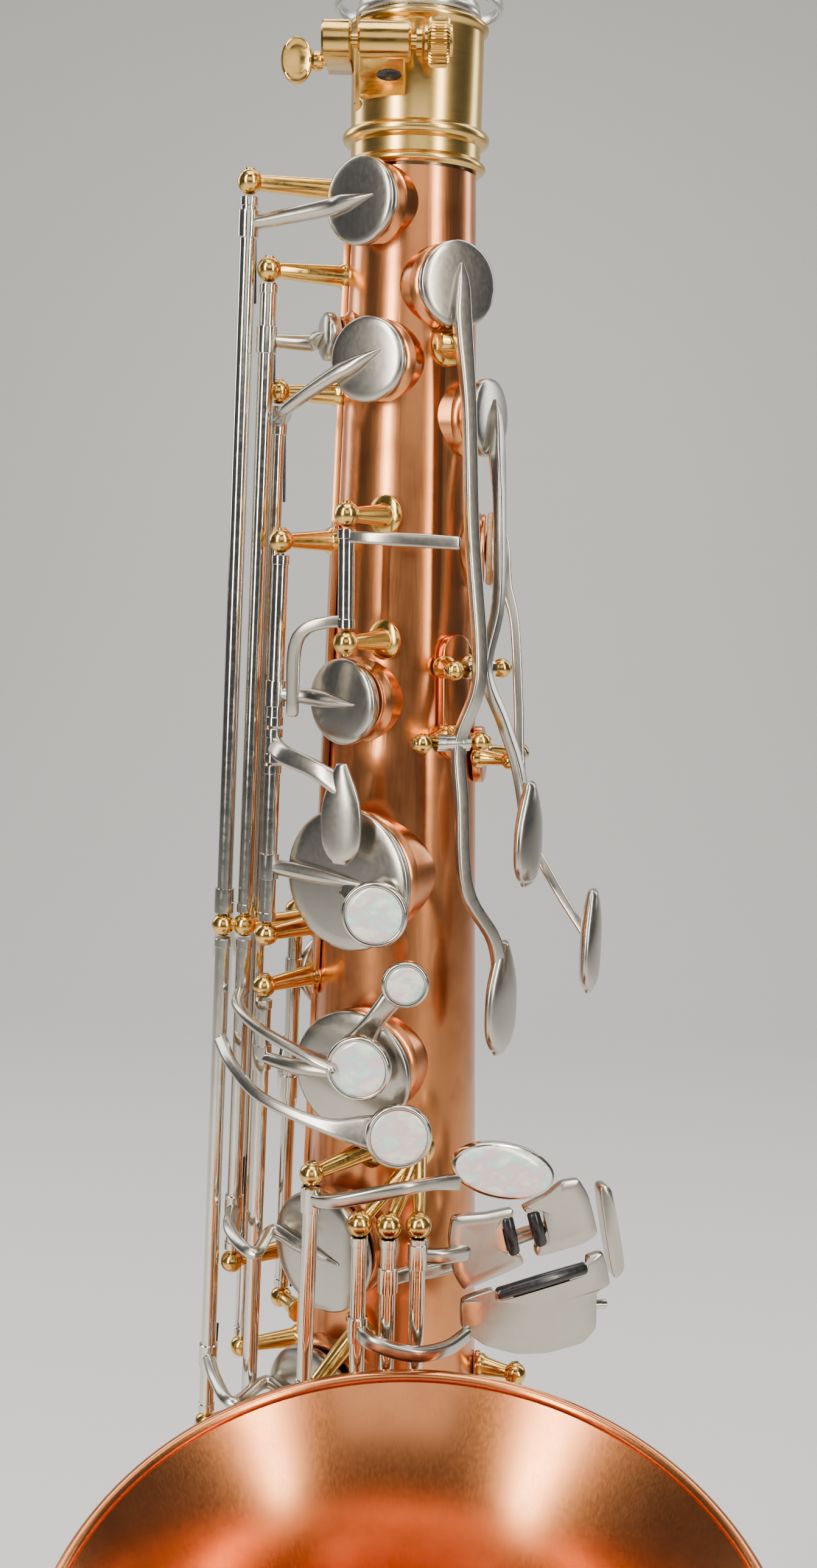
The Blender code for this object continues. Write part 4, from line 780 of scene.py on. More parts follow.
def neck():
    path = smooth([Vector((0, y, z)) for y, z in NECK_ROUTE], NECK_STEPS)
    last = len(path) - 1
    radii = [TENON_R if p.z < 22 and p.y < 1 else 12.4 - 5.6 * i / last for i, p in enumerate(path)]
    tangents = [path[min(i + 1, last)] - path[max(i - 1, 0)] for i in range(last + 1)]
    shell = hollow_run(path, radii, 64, tangents, wall=1.0)
    collar = turned([(12.2, 0), (14.2, 0), (14.6, 0.5), (14.6, 1.4), (14.0, 2.0), (14.0, 3.2), (13.2, 4.2), (12.9, 6.6),
                     (12.2, 7.2), (12.0, 7.2)], Vector((0, 0, 26.4)), UP, 80)
    end = path[-1]
    tip = turned([(6.0, -1.6), *arc((7.1, -0.9), 0.7, -90, 90, 6), (5.9, -0.2), (6.0, -1.6)], end,
                 tangents[-1], 48)
    make("neck_tube_skin", [(shell, SILVER), (collar, SILVER), (tip, SILVER)], "neck", ("neck_tube",))
    first = int(CORK_SHARE * last)
    corked = path[first:last - 1]
    ups = frames_along(corked, ACROSS, tangents[first:last - 1])
    swell = [8.7 - 1.0 * (i in (0, len(corked) - 1)) - 0.4 * i / len(corked) for i in range(len(corked))]
    sleeve = skinned(ups, swell, swell, section(48, 2))
    make("neck_cork_sleeve", [(sleeve, CORK)], "neck", ("neck_cork",))
    foot = Vector((0, -12.6, 60.5))
    plate = slab(eased([(-8, -4), (8, -4), (8, 4), (-8, 4)]), 1.5, foot, ACROSS, Vector((0, -1, 0.1)))
    shapes = [(plate, SILVER)]
    for x in (-6.6, 6.6):
        head = along_x(NECK_HINGE, x)
        shapes += [(post(Vector((x, -13.4, 60.5)), head, 1.9, 0.45), SILVER), (ball(head, 1.9), SILVER)]
    make("neck_saddle_posts", shapes, "neck", ("neck_octave_saddle",))
    route = [Vector((0, y, z)) for y, z in
             ((-19.0, LOOP_Z), (-18.5, 44), (-16.6, 60), (-11.0, 80), (4, 104), (30, 125.5), (52, 134.5))]
    arm = limb(route, [3.2, 2.6, 2.8, 2.6, 2.4, 2.4, 1.2], [1.0, 1.0, 1.2, 1.1, 1.0, 1.0, 0.6], Vector((0, -1, 0.4)))
    loop = hoop(Vector((0, 0, LOOP_Z)), UP, LOOP_R - 1.4, 1.6, 96, 14, 3.0)
    tube = hinge_tube(NECK_HINGE - ACROSS * 4.5, NECK_HINGE + ACROSS * 4.5, metal=SILVER, radius=1.7)
    base, out = Vector((0, 51.5, 129.2)), Vector((0, -0.28, 1)).normalized()
    lid = turned([(5.0, 1.0), (5.4, 1.4), (5.4, 3.2), (4.6, 4.0), (2.4, 4.5), (0, 4.6)], base, out, 48)
    make("neck_octave_key_metal", [(arm, SILVER), (loop, SILVER), (lid, SILVER), *tube], "neck_octave_key",
         ("neck_octave_key",))
    make("neck_octave_key_pad", [(turned([(0, 0.2), (4.0, 0), (4.7, 0.4), (4.7, 1.6)], base, out, 40), CORK)],
         "neck_octave_key")


# ---------------------------------------------------------------- posts and ribs


def eased(outline, first=0.25):
    """The outline with its corners cut again and again, which rounds them. `first` sets how far the first cut goes."""
    for share in (first, 0.25, 0.25):
        after = outline[1:] + outline[:1]
        outline = [(mix(a[0], b[0], t), mix(a[1], b[1], t)) for a, b in zip(outline, after) for t in (share, 1 - share)]
    return outline


def post(foot, head, ball_r=BALL_R, flange=1.0):
    """A turned post from its flange to just inside the ball that tops it."""
    length = (head - foot).length
    top_r, foot_r = ball_r * 0.6, ball_r * 0.86
    profile = [(0, -0.8), (4.4 * flange, -0.4), (4.7 * flange, 0.1), (4.7 * flange, 0.6), (4.3 * flange, 1.0),
               (foot_r + 0.35, 1.25), (foot_r, 1.9), (mix(foot_r, top_r, 0.8), length - ball_r - 0.6),
               (top_r, length - ball_r * 0.7), (top_r, length), (0, length)]
    return turned(profile, foot, head - foot, 36)


def pivot_screw(head, along, ball_r=BALL_R):
    """The slotted end of the pivot screw that a ball carries; its slot is a thin black sheet, painted shade."""
    tip = head + along * (ball_r - 0.35)
    disc = turned([(0, 0), (1.25, 0), (1.25, 0.3), (1.0, 0.5), (0, 0.5)], tip, along, 24)
    # a thin black sheet on the screw's face stands in for the slot's groove: painted shade, not a cut
    slot_shade_sheet = slab([(-1.1, -0.16), (1.1, -0.16), (1.1, 0.16), (-1.1, 0.16)], 0.1, tip + along * 0.45, along.orthogonal(),
                along, 0.02)
    return [(disc, BRASS), (slot_shade_sheet, HORN_AND_PAINTED_SHADE)]


def strip(angle, top, bottom, width, thick=1.4):
    """A rib: a strip with round ends, soldered along the tube."""
    start, end = on_tube(angle, GAP * 0.5, bottom), on_tube(angle, GAP * 0.5, top)
    high = (end - start).normalized()
    face = outward(angle)
    face = (face - high * face.dot(high)).normalized()
    half, length = width / 2, (end - start).length
    outline = arc((0, half), half, 180, 360, 8) + arc((0, length - half), half, 0, 180, 8)
    return slab(outline, thick, start, high.cross(face), face, 0.4)


def rib(name, angle, top, bottom, heads, width=5.0, twins=()):
    shapes = [(strip(angle, top, bottom, width), COPPER)]
    for head, depth in heads:
        foot = on_tube(angle, 1.4, depth)
        shapes += [(post(foot, head, flange=0.7), BRASS), (ball(head, BALL_R), BRASS), *pivot_screw(head, UP)]
    for head, further in twins:
        shapes += [(rod(head, further, 1.6), BRASS), (ball(further, BALL_R), BRASS)]
    make(name + "_posts", shapes, "body", (name,))


SIDE_POSTS = (("side_high", 11), ("outer", 30.5), ("under", 58), ("outer", 188), ("outer", 277), ("under", 303.5),
              ("side_high", 322), ("back", 188), ("back", 296))
STACK_POSTS_UPPER = (93, 188, 201)
STACK_POSTS_LOWER = (315.5, 444, 495)
BELL_LINE_ENDS = {"low_bb": 410, "low_b": 477, "low_cs": 484}
FRONT_F_LINE = (Vector((-13.2, -28.2, -86.5)), Vector((-12.9, -28.6, -115.5)))
GS_LINE = (Vector((-18.4, -36.0, -240.6)), Vector((-19.6, -36.4, -298.0)))
PALM_HINGES = {"palm_f": (23.5, 30.0, 138), "palm_eb": (40, 27.6, 121.5), "palm_d": (78, 28.6, 144)}
PALM_RIBS = {"palm_key_rib": (41, 114, 144, ("palm_f", "palm_eb")), "palm_d_rib": (78, 137, 151, ("palm_d",))}
PALM_HALF = 4.2
LOW_LINES = {"low_eb": Vector((-40.5, -12.5, 0)), "low_c": Vector((-42.0, -30.0, 0))}


def low_line(name, depth):
    return LOW_LINES[name] - UP * depth


def bow_side(degrees, reach):
    return bow_centre(degrees) - ACROSS * reach


def ribs():
    rib("side_key_rib", -100, 11, 330, [(on_line(line, d), d) for line, d in SIDE_POSTS], 4.0,
        [(on_line("outer", 188), on_line("side_high", 188))])
    rib("upper_stack_rib", -79, 88, 206, [(on_line("stack", d), d) for d in STACK_POSTS_UPPER])
    rib("lower_stack_rib", -79, 310, 499, [(on_line("stack", d), d) for d in STACK_POSTS_LOWER])
    rib("g_sharp_key_rib", 82, 302, 343, [(on_line("gs_key", d), d) for d in (306, 338)], 4.0)
    rib("low_c_sharp_rib", 38, 480, 520, [(on_line("cs_key", d), d) for d in (484, 516)], 4.0)
    rib("bell_key_lower_rib", 8, 402, 492, [(on_bell_line(line, d), d) for line, d in BELL_LINE_ENDS.items()], 4.0)
    rib("foot_key_rib", -60, 501, 545, [(low_line("low_eb", 497), 505), (low_line("low_eb", 540), 540),
                                        (low_line("low_c", 516), 520)])


def single_posts():
    """Posts that stand on round flanges of their own."""
    foot = bow_side(52, bow_r(52 / 180) + GAP)
    stands = {"front_f_upper_post": (on_tube(-16, GAP, 86.5), FRONT_F_LINE[0]),
              "front_f_lower_post": (on_tube(-14, GAP, 115.5), FRONT_F_LINE[1]),
              "g_sharp_upper_post": (on_tube(-14, GAP, 240), GS_LINE[0]),
              "g_sharp_lower_post": (on_tube(-16, GAP, 286), GS_LINE[1]),
              "low_c_lower_post": (foot, low_line("low_c", -foot.z))}
    foot = on_tube(34, GAP, 47.5)
    barrel = rod(foot + Vector((-2.2, -5.2, 0)), foot + Vector((3.4, -3.4, 0)), 2.3)
    make("palm_f_guide_post", [(post(foot, foot + outward(34) * 6.5, 3.2), BRASS), (barrel, BRASS)], "body")
    for name, (foot, head) in stands.items():
        end = UP if "upper" in name else -UP
        shapes = [(post(foot, head), BRASS), (ball(head, BALL_R), BRASS), *pivot_screw(head, end)]
        make(name + "_turned", shapes, "body", (name,))
    foot = on_tube(17, GAP, 240)
    flange = [(0, 0), (4.2, 0), (4.6, 0.5), (4.2, 1.2), (2.6, 1.8), (2.2, 3.6), (0, 3.8)]
    shapes = [(turned(flange, foot, outward(17), 40), BRASS)]
    for line in BELL_LINES:
        head = on_bell_line(line, 252)
        shapes += [(limb([foot + outward(17) * 1.4, mix(foot, head, 0.5) + outward(17) * 1.2, head], [2.2, 1.7, 1.4],
                         [2.2, 1.7, 1.4], UP, 20, 2), BRASS), (ball(head, 3.1), BRASS), *pivot_screw(head, UP, 3.1)]
    make("bell_key_upper_post_triple", shapes, "body", ("bell_key_upper_post",))


def palm_hinge(name):
    angle, reach, depth = PALM_HINGES[name]
    a = math.radians(angle)
    return at(angle, reach, depth), Vector((math.cos(a), math.sin(a), 0))


def palm_ribs():
    spread = 11
    for rib_name, (angle, top, bottom, names) in PALM_RIBS.items():
        shapes = [(strip(angle, top, bottom, 9, 2.2), COPPER)]
        for name in names:
            centre, axis = palm_hinge(name)
            for side in (-1, 1):
                head = centre + axis * (side * (PALM_HALF + GAP + 2.75))
                turn = math.degrees(math.atan2(head.x, -head.y))
                foot = on_tube(min(max(turn, angle - spread), angle + spread), 2.0, -head.z)
                shapes += [(post(foot, head, 2.3, 0.6), BRASS), (ball(head, 2.3), BRASS),
                           *pivot_screw(head, axis * side, 2.3)]
        make(rib_name + "_posts", shapes, "body", (rib_name,))


# ---------------------------------------------------------------- keys


def hinge(body):
    """The body's hinge in this layout: a point on it, its direction, and the angle where its travel ends."""
    joint = JOINTS[body]
    point = Vector(joint["pos_m"]) / MM - Vector((0, AXIS_Y, BEAD_Z))
    return point, Vector(joint["axis"]).normalized(), joint["range_deg"][1]


def hinge_tube(start, end, arms=(), metal=None, radius=ROD_R):
    """A polished hinge tube, with a shoulder at each end and a sleeve where each arm is brazed on."""
    along = (end - start).normalized()
    metal = metal or NICKEL
    shapes = [(rod(start, end, radius), metal)]
    for tip in (start, end - along * 2.2):
        shapes.append((rod(tip, tip + along * 2.2, radius + 0.22, 32, 0.15), metal))
    for arm in arms:
        middle = start + along * (arm - start).dot(along)
        shapes.append((turned([(radius, -3.2), (radius + 0.5, -3.0), (radius + 0.55, 0), (radius + 0.5, 3.0),
                               (radius, 3.2)], middle, along, 32), metal))
    return shapes


def cup(base, out, r):
    """A pad cup, domed, with a stepped edge."""
    profile = [(r - 1.0, 1.2), (r - 0.25, 1.3), (r, 1.6), (r, 3.0), (r - 0.2, 3.4), (r - 0.8, 3.7), (0.8 * r, 3.92),
               (0.5 * r, 4.15), (0.2 * r, 4.28), (0, 4.3)]
    return turned(profile, base, out, 64)


def pad(base, out, r):
    """The leather pad, pressed a little where it meets the tone hole's rim, and its resonator."""
    leather = turned([(0.5 * r, 0.42), (r - 3.4, 0.4), (r - 2.4, 0.06), (r - 1.5, 0.05), (r - 0.85, 0.4),
                      (r - 0.75, 1.0), (r - 0.9, 1.5)], base, out, 56)
    disc = turned([(0.52 * r, 0.5), (0.5 * r, 0.1), (0.3 * r, -0.25), (0, -0.35)], base, out, 40)
    return [(leather, LEATHER), (disc, RESIN)]


def spine(start, base, out, r, via=(), wide=1.6):
    """The forged arm from a hinge tube over a pad cup, drawn to a point past the cup's middle."""
    top = base + out * PAD_AND_CUP
    side = start - top
    side = (side - out * side.dot(out)).normalized()
    route = [start, *via, top + side * (r * 0.95) + out * 1.2, top + side * (r * 0.4) + out * 0.85, top + out * 0.5,
             top - side * (r * 0.45) + out * 0.1]
    straight = len(route) - 4
    return limb(route, [wide] * straight + [wide * 1.25, wide * 1.2, wide * 0.8, 0.3],
                [1.7] * straight + [1.6, 1.5, 1.2, 0.3], out, power=1.6)


def dish(centre, out, r):
    """The nickel dish that holds a pearl, with its rolled rim."""
    return turned([(0, 0), (r - 2.2, 0.1), (r - 0.8, 0.5), (r, 1.3), (r, 2.8), (r - 0.2, 3.15), (r - 0.55, 3.3),
                   (r - 0.95, 3.2), (r - 1.15, 2.9), (r - 1.15, 1.8), (0, 1.8)], centre, out, 64)


def pearl(centre, out, r):
    return turned([(r - 1.2, 1.7), (r - 1.2, 2.95), (r - 1.6, 3.2), (0.7 * r, 3.3), (0.35 * r, 3.42), (0, 3.46)],
                  centre, out, 64)


def spoon(centre, face, length, width, thick):
    """A spoon-shaped touch: a long convex leaf, fuller below its middle."""
    half = length / 2
    shares = ((1.0, 0.30, 0.6), (0.72, 0.58, 0.85), (0.3, 0.90, 1.0), (-0.15, 1.0, 1.0), (-0.55, 0.93, 0.95),
              (-0.8, 0.66, 0.8), (-0.9, 0.42, 0.55))
    points = [centre + UP * (half * where) for where, _, _ in shares]
    return limb(points, [width / 2 * w for _, w, _ in shares], [thick * t for _, _, t in shares], face, 32, 2.0, 8)


def key(body, still, moving=(), cups=(), pearls=(), stands_open=False):
    """A key's metal, its pads and its pearls. `moving` and the cups are laid out shut, and may stand open."""
    pivot, axis, travel = hinge(body)
    lift = -travel if stands_open else 0.0
    raised = lambda parts: [(about(shape, pivot, axis, lift), mat) for shape, mat in parts]
    metal = list(still) + raised(moving) + raised([(cup(*spot), SATIN) for spot in cups])
    metal += [(dish(*spot), NICKEL) for spot in pearls]
    make(body + "_metal", metal, body, (body,))
    if cups:
        make(body + "_pad", raised([part for spot in cups for part in pad(*spot)]), body)
    if pearls:
        make(body + "_pearl", [(pearl(*spot), PEARL) for spot in pearls], body)


def body_cup(hole):
    angle, depth, _, r = HOLES[hole]
    return on_tube(angle, CHIMNEY + GAP, depth), outward(angle), r


def stack_key(body, hole, line, span, arm_depth, extra=(), pearls=(), via=()):
    pivot = on_line(line, arm_depth)
    still = hinge_tube(on_line(line, span[0]), on_line(line, span[1]), [pivot]) + list(extra)
    spot = body_cup(hole)
    key(body, still, [(spine(pivot, *spot, via), SATIN)], [spot], pearls, True)


def stack_keys():
    stack_key("small_c_key", "c_vent", "stack", (96.4, 136.8), 129)
    spot = (at(-8.4, 31.2, 178), outward(-8.4), PEARL_R)
    top = on_tube(-25, CHIMNEY + PAD_AND_CUP + 2.6, 173.5)
    stem = limb([top, (top + spot[0]) / 2 + outward(-18) * 0.8, spot[0] + outward(-8.4)], [2.4, 2.8, 3.2],
                [1.1, 1.3, 1.3], FORWARD)
    stack_key("b_key", "b", "stack", (146.2, 184.6), 171, [(stem, SATIN)], [spot])
    spot = (at(4.5, 31.2, 194.5), outward(4.5), 5.6)
    stem = limb([on_tube(-18, CHIMNEY + PAD_AND_CUP + 2.6, 213), at(-8, 31.4, 204), spot[0] + outward(4.5) * 0.9],
                [4.6, 2.5, 3.2], [0.9, 1.2, 1.1], FORWARD)
    stack_key("bis_key", "bis", "stack", (204.4, 311.9), 219, [(stem, SATIN)], [spot])
    spot = (at(-11.8, 35.8, 213.8), outward(-11.8), PEARL_R)
    arm = limb([on_line("outer", 205), (-38.2, -16.6, -206), (-31.8, -26.6, -208.5), (-20, -34.4, -212),
                spot[0] + Vector((-6.4, -0.2, 0.3))], [1.9, 1.5, 1.4, 1.9, 4.2], [1.4, 1.3, 1.2, 1.2, 1.3], FORWARD)
    stack_key("a_key", "a", "outer", (191.5, 273.6), 262, [(arm, SATIN)], [spot],
              [Vector((-38.6, -19.2, -263)), Vector((-31.0, -28.2, -264.5))])
    spot = (at(3.0, 36.6, 229.6), outward(3), PEARL_R)
    arm = limb([on_line("side_high", 217), (-39.5, -18, -220.5), (-31, -28.5, -225), (-16, -35.6, -228.5),
                spot[0] + Vector((-6.6, -0.9, 0.2))], [1.9, 1.5, 1.4, 1.8, 4.2], [1.3, 1.2, 1.1, 1.1, 1.3], FORWARD)
    stack_key("g_key", "g", "side_high", (191.4, 318.6), 303, [(arm, SATIN)], [spot],
              [Vector((-42.0, -19.0, -303.5)), Vector((-36.0, -27.0, -304.5))])
    lower = (("f_sharp_key", "fs", (319.2, 362.0), 345), ("f_key", "f", (362.4, 403.0), 387),
             ("e_key", "e", (403.4, 440.4), 430), ("d_key", "d", (447.6, 491.4), 474))
    for body, hole, span, arm_depth in lower:
        angle, depth, _, _ = HOLES[hole]
        if hole == "fs":
            stack_key(body, hole, "stack", span, arm_depth)
            continue
        base = on_tube(angle + 3, CHIMNEY + PAD_AND_CUP + 3.4, depth)
        stalk = turned([(4.2, 0), (3.0, 0.9), (2.8, 3.0), (3.6, 4.0)], base - outward(angle) * 3.4,
                       outward(angle + 1), 32)
        stack_key(body, hole, "stack", span, arm_depth, [(stalk, SATIN)], [(base, outward(angle + 3), 7.2)])


def plate_right(face, lean=0.0):
    return Quaternion(face.normalized(), math.radians(lean)) @ -UP.cross(face).normalized()


def oval_plate(centre, face, length, width, thick=1.8, lean=0.0, crown=0.5):
    """An oval touch with eased edges; `crown` raises its middle."""
    return slab(ellipse(width / 2, length / 2, 48), thick, centre, plate_right(face, lean), face, 0.6, -crown)


def side_key(body, hole, line, span, arm_depth, touch=None, via=()):
    pivot = on_line(line, arm_depth)
    spot = body_cup(hole)
    arms = [pivot]
    metal = [(spine(pivot, *spot, via), SATIN)]
    if touch:
        touch_angle, standoff, touch_depth = touch
        centre = on_tube(touch_angle, standoff, touch_depth)
        out = outward(touch_angle + 12)
        start = on_line(line, min(touch_depth, span[1] - 2.8))
        arms.append(start)
        metal += [(oval_plate(centre, out, 24, 10), NICKEL),
                  (limb([start, mix(start, centre, 0.5) + out * 0.6, centre + out * 0.9], [2.4, 2.3, 3.4],
                        [1.2, 1.1, 0.8], UP), SATIN)]
    key(body, hinge_tube(on_line(line, span[0]), on_line(line, span[1]), arms) + metal, cups=[spot])


def side_keys():
    side_key("high_e_key", "high_e", "side_high", (14.4, 184.6), 20.5, (-103, 25, 200))
    side_key("high_f_sharp_key", "high_fs", "outer", (33.8, 184.7), 46.5)
    side_key("side_c_key", "side_c", "under", (61.4, 300.1), 65, (-110, 19, 268),
             [Vector((-29.6, -6.6, -64.2)), Vector((-27.8, -12.2, -62))])
    side_key("side_b_flat_key", "side_bb", "back", (191.4, 292.6), 204, (-128, 14.5, 236))


def palm_key(name, route, touch_centre, touch_face, length, width):
    centre, axis = palm_hinge(name)
    base, out, r = body_cup(name)
    top = base + out * PAD_AND_CUP
    lever = [top + UP * (r * 0.45) + out * 0.2, top + out * 0.6, top + out * 1.0 - UP * (r * 0.9),
             *[at(*p) for p in route], touch_centre + touch_face * 0.3]
    middle = len(lever) - 4
    arm = limb(lever, [0.3, 1.5, 2.1] + [1.6] * middle + [1.8], [0.3, 1.1, 1.5] + [1.2] * middle + [1.0], out, power=6)
    touch = spoon(touch_centre + touch_face * 0.4, touch_face, length, width, 2.3)
    tube = hinge_tube(centre - axis * PALM_HALF, centre + axis * PALM_HALF)
    key(name + "_key", tube + [(arm, SATIN), (touch, SATIN)], cups=[(base, out, r)])


def palm_keys():
    palm_key("palm_f", [(32, 26.0, 62), (32.5, 28.4, 90), (33, 32.4, 115), (32, 32.8, 126), (26.5, 30.6, 138),
                        (27, 32.0, 152), (29, 33.5, 172), (43, 34.5, 186)],
             Vector((25.3, -22.0, -201)), outward(62), 27, 15)
    palm_key("palm_eb", [(55, 26.5, 84), (51, 28.4, 106), (41.5, 29.4, 121.5), (50, 31.5, 134), (56, 34, 146)],
             Vector((30.5, -20.6, -161)), outward(66), 24, 15)
    palm_key("palm_d", [(84, 27.0, 112), (80, 28.8, 132), (78, 29.6, 144), (77.5, 32.5, 162), (72.5, 40.5, 175)],
             Vector((46.5, -19.0, -187)), outward(76), 24, 17)


def front_f():
    out = outward(-22.9)
    touch = at(-22.9, 32.6, 155.5)
    pivot = on_line("stack", 141)
    arm = limb([pivot, (-27.5, -22.5, -142.5), (-19.5, -28.5, -145), touch + UP * 7 + out * 1.2], [2.4, 2.3, 2.2, 2.6],
               [1.2, 1.1, 1.1, 0.9], FORWARD)
    leaf = spoon(touch + out * 1.2, out, 23.5, 10.4, 1.3)
    key("front_f_touch", hinge_tube(on_line("stack", 137.4), on_line("stack", 145.6)) + [(arm, SATIN), (leaf, SATIN)])
    top, bottom = FRONT_F_LINE
    axis = (top - bottom).normalized()
    ends = (top - axis * 3.3, bottom + axis * 3.3)
    upper = limb([ends[0] - axis * 1.6, top + Vector((6, -3.2, -5.2)), top + Vector((15, -4.8, -5.4)),
                  top + Vector((25, -3.6, -5.8))], [1.4, 1.4, 1.6, 1.5], [1.3, 1.3, 1.1, 0.9], FORWARD, power=5)
    lower = limb([ends[1] + axis * 1.6, bottom + Vector((-5, 0.6, 4.4)), bottom + Vector((-9.6, 1.8, 2.6)),
                  bottom + Vector((-12.0, 3.0, -2.4)), bottom + Vector((-12.4, 4.4, -17))], [1.4, 1.4, 1.5, 1.5, 1.4],
                 [1.2, 1.2, 1.2, 1.1, 0.9], FORWARD, power=5)
    key("front_f_link", hinge_tube(*ends) + [(upper, SATIN), (lower, SATIN)])


TABLE_RIGHT = Vector((0.95, 0.31, 0)).normalized()
TABLE_FACE = Vector((0.31, -0.95, 0)).normalized()
TABLE_CORNER = Vector((14.4, -33.0, -250.0))
CS_PLATE = [(-0.4, -7.1), (0.2, -0.9), (9, -1.2), (15.6, -0.5), (15.9, -2.3), (12.3, -2.3), (14.7, -12.5),
            (18.2, -12.6), (19.2, -15.1), (9.5, -18.4), (3.6, -20.2), (1.2, -15.9)]
B_PLATE = [(18.2, -0.4), (23.7, 1.9), (28.4, 5.0), (32.6, 5.3), (35.4, 0.6), (38.4, -9.6), (34.7, -11.7), (22.2, -13.8),
           (21.8, -11.0), (25.6, -10.8), (23.2, -1.4), (18.8, -1.9)]
BB_PLATE = [(3.2, -22.4), (11.4, -20.6), (11.7, -24.3), (36.4, -19.9), (36.0, -15.2), (39.9, -14.4), (42.4, -23.2),
            (38.6, -24.6), (39.0, -34.6), (35.6, -38.0), (26.2, -39.4), (18.1, -38.6), (9.4, -35.2), (3.4, -29.8)]
SIDE_PLATE = [(38.0, 2.8), (41.6, 2.4), (46.6, -20.2), (43.2, -23.2)]  # a flap bent back along the B flat touch's edge


def on_table(x, y, lift=0.0):
    return TABLE_CORNER + TABLE_RIGHT * x + UP * y + TABLE_FACE * lift


def table_plate(outline):
    return slab(eased(outline, 0.10), 2.2, TABLE_CORNER, TABLE_RIGHT, TABLE_FACE, 0.5, 0.25)


def roller(start, end):
    """A black roller, slightly fuller in the middle, between two points of the table."""
    radius = 1.55
    a, b = on_table(*start, 1.5), on_table(*end, 1.5)
    length = (b - a).length
    profile = [(0, 0), (radius - 0.35, 0), (radius, 0.5), (radius + 0.12, length / 2), (radius, length - 0.5),
               (radius - 0.35, length), (0, length)]
    return turned(profile, a, b - a, 32)


def table_keys():
    """Low C sharp, B and B flat, whose touches make the left little finger's table with its rollers."""
    tables = {
        "low_cs": ("low_c_sharp_lever", CS_PLATE, [(0, 259.5), (-36.8, 12.5, 260), (-33.6, 18.5, 260.5)]),
        "low_b": ("low_b_key", B_PLATE, [(0, 265.5), (-34.0, 4.6, 266), (-30.0, 12, 266.5), (-24.9, 22, 265),
                                         (-22.7, 33, 260.5), (-24.3, 39, 258)]),
        "low_bb": ("low_b_flat_key", BB_PLATE, [(0, 278.5), (-42.9, -3.3, 279.1), (-44.3, 6.2, 281.1),
                                                (-39.5, 14.2, 282.2), (-33.9, 19.3, 281.5)]),
    }
    rollers = {"low_cs": ((14.1, -2.6), (16.5, -12.2)), "low_b": ((20.9, -2.1), (23.5, -10.7)),
               "low_bb": ((12.4, -22.3), (35.6, -18.2))}
    for line, (body, outline, route) in tables.items():
        foot = BELL_LINE_ENDS[line]
        points = [on_bell_line(line, route[0][1])] + [Vector((x, y, -d)) for y, x, d in route[1:]]
        arms = [points[0]]
        metal = [(table_plate(outline), SATIN), (limb(points, 1.8, 1.3, FORWARD, power=4), SATIN)]
        moving, cups = [], []
        if line == "low_bb":
            flap = slab(eased(SIDE_PLATE, 0.14), 4.0, TABLE_CORNER - TABLE_FACE * 2.4, TABLE_RIGHT, TABLE_FACE, 0.5)
            metal += [(flap, SATIN), (rod(on_table(37.5, -28.4, 0.9), on_table(41.8, -28.9, 0.9), 1.1), NICKEL)]
        if line == "low_cs":
            start = on_bell_line(line, 476)
            tail = limb([start, at(17, 41.2, 478), at(24, 41.6, 487)], [2.3, 2.2, 1.8], [1.2, 1.1, 0.9], FORWARD)
            metal.append((tail, SATIN))
        else:
            share, _, r = BELL_HOLES[line]
            out = BELL_HOLE_SIDE
            base = bell_centre(share) + out * (bell_r(share) + CHIMNEY + GAP)
            start = on_bell_line(line, -base.z)
            moving, cups = [(spine(start, base, out, r, wide=2.1), SATIN)], [(base, out, r)]
        arms.append(start)
        key(body, hinge_tube(on_bell_line(line, 255.0), on_bell_line(line, foot - 3.0), arms) + metal, moving, cups,
            stands_open=bool(cups))
        a, b = rollers[line]
        pins = [rod(on_table(*spot, 1.2) + UP * rise, on_table(*spot, 1.2) + UP * (rise + 0.4), 0.9)
                for spot, rise in ((a, 0.2), (b, -0.6))]
        make(body + "_roller", [(roller(a, b), HORN_AND_PAINTED_SHADE), *[(pin, NICKEL) for pin in pins]], body)
    tail = limb([on_line("cs_key", 491), at(30, 38.2, 490.5), at(24.5, 38.6, 490)], [2.2, 2.0, 1.6], [1.1, 1.0, 0.9],
                FORWARD)
    lever_key("low_c_sharp_key", "low_cs", "cs_key", (487.3, 512.7), 500, [(tail, SATIN)])


def lever_key(body, hole, line, span, arm_depth, extra=()):
    """A key on a short hinge tube, shut by its spring, that another key's lever opens."""
    pivot = on_line(line, arm_depth)
    spot = body_cup(hole)
    tube = hinge_tube(on_line(line, span[0]), on_line(line, span[1]), [pivot])
    key(body, tube + [(spine(pivot, *spot), SATIN), *extra], cups=[spot])


def g_sharp_keys():
    top, bottom = GS_LINE
    axis = (top - bottom).normalized()
    ends = (top - axis * 3.4, bottom + axis * 3.4)
    touch = Vector((26.8, -31.5, -240))
    face = Vector((0.25, -1, 0.1)).normalized()
    arm = limb([ends[0] - axis * 2.8, (-12.6, -41.0, -245.0), (1, -43.0, -241.2), (9.5, -39.4, -240.8),
                (16.0, -35.4, -241.8)], [1.7, 1.7, 1.6, 1.5, 2.0], [1.5, 1.4, 1.3, 1.2, 1.1], FORWARD, power=4)
    frame_plate = oval_plate(touch - face * 0.9, face, 13.4, 26, 2.8, -14, crown=0.0)
    inlay = oval_plate(touch + face * 1.4, face, 12.0, 24.6, 0.9, -14, crown=0.1)
    key("g_sharp_lever", hinge_tube(*ends, arms=[ends[0] - axis * 2.8]) + [(arm, SATIN), (frame_plate, NICKEL)])
    make("g_sharp_lever_pearl", [(inlay, PEARL)], "g_sharp_lever")
    lever_key("g_sharp_key", "gs", "gs_key", (309.3, 334.7), 322)


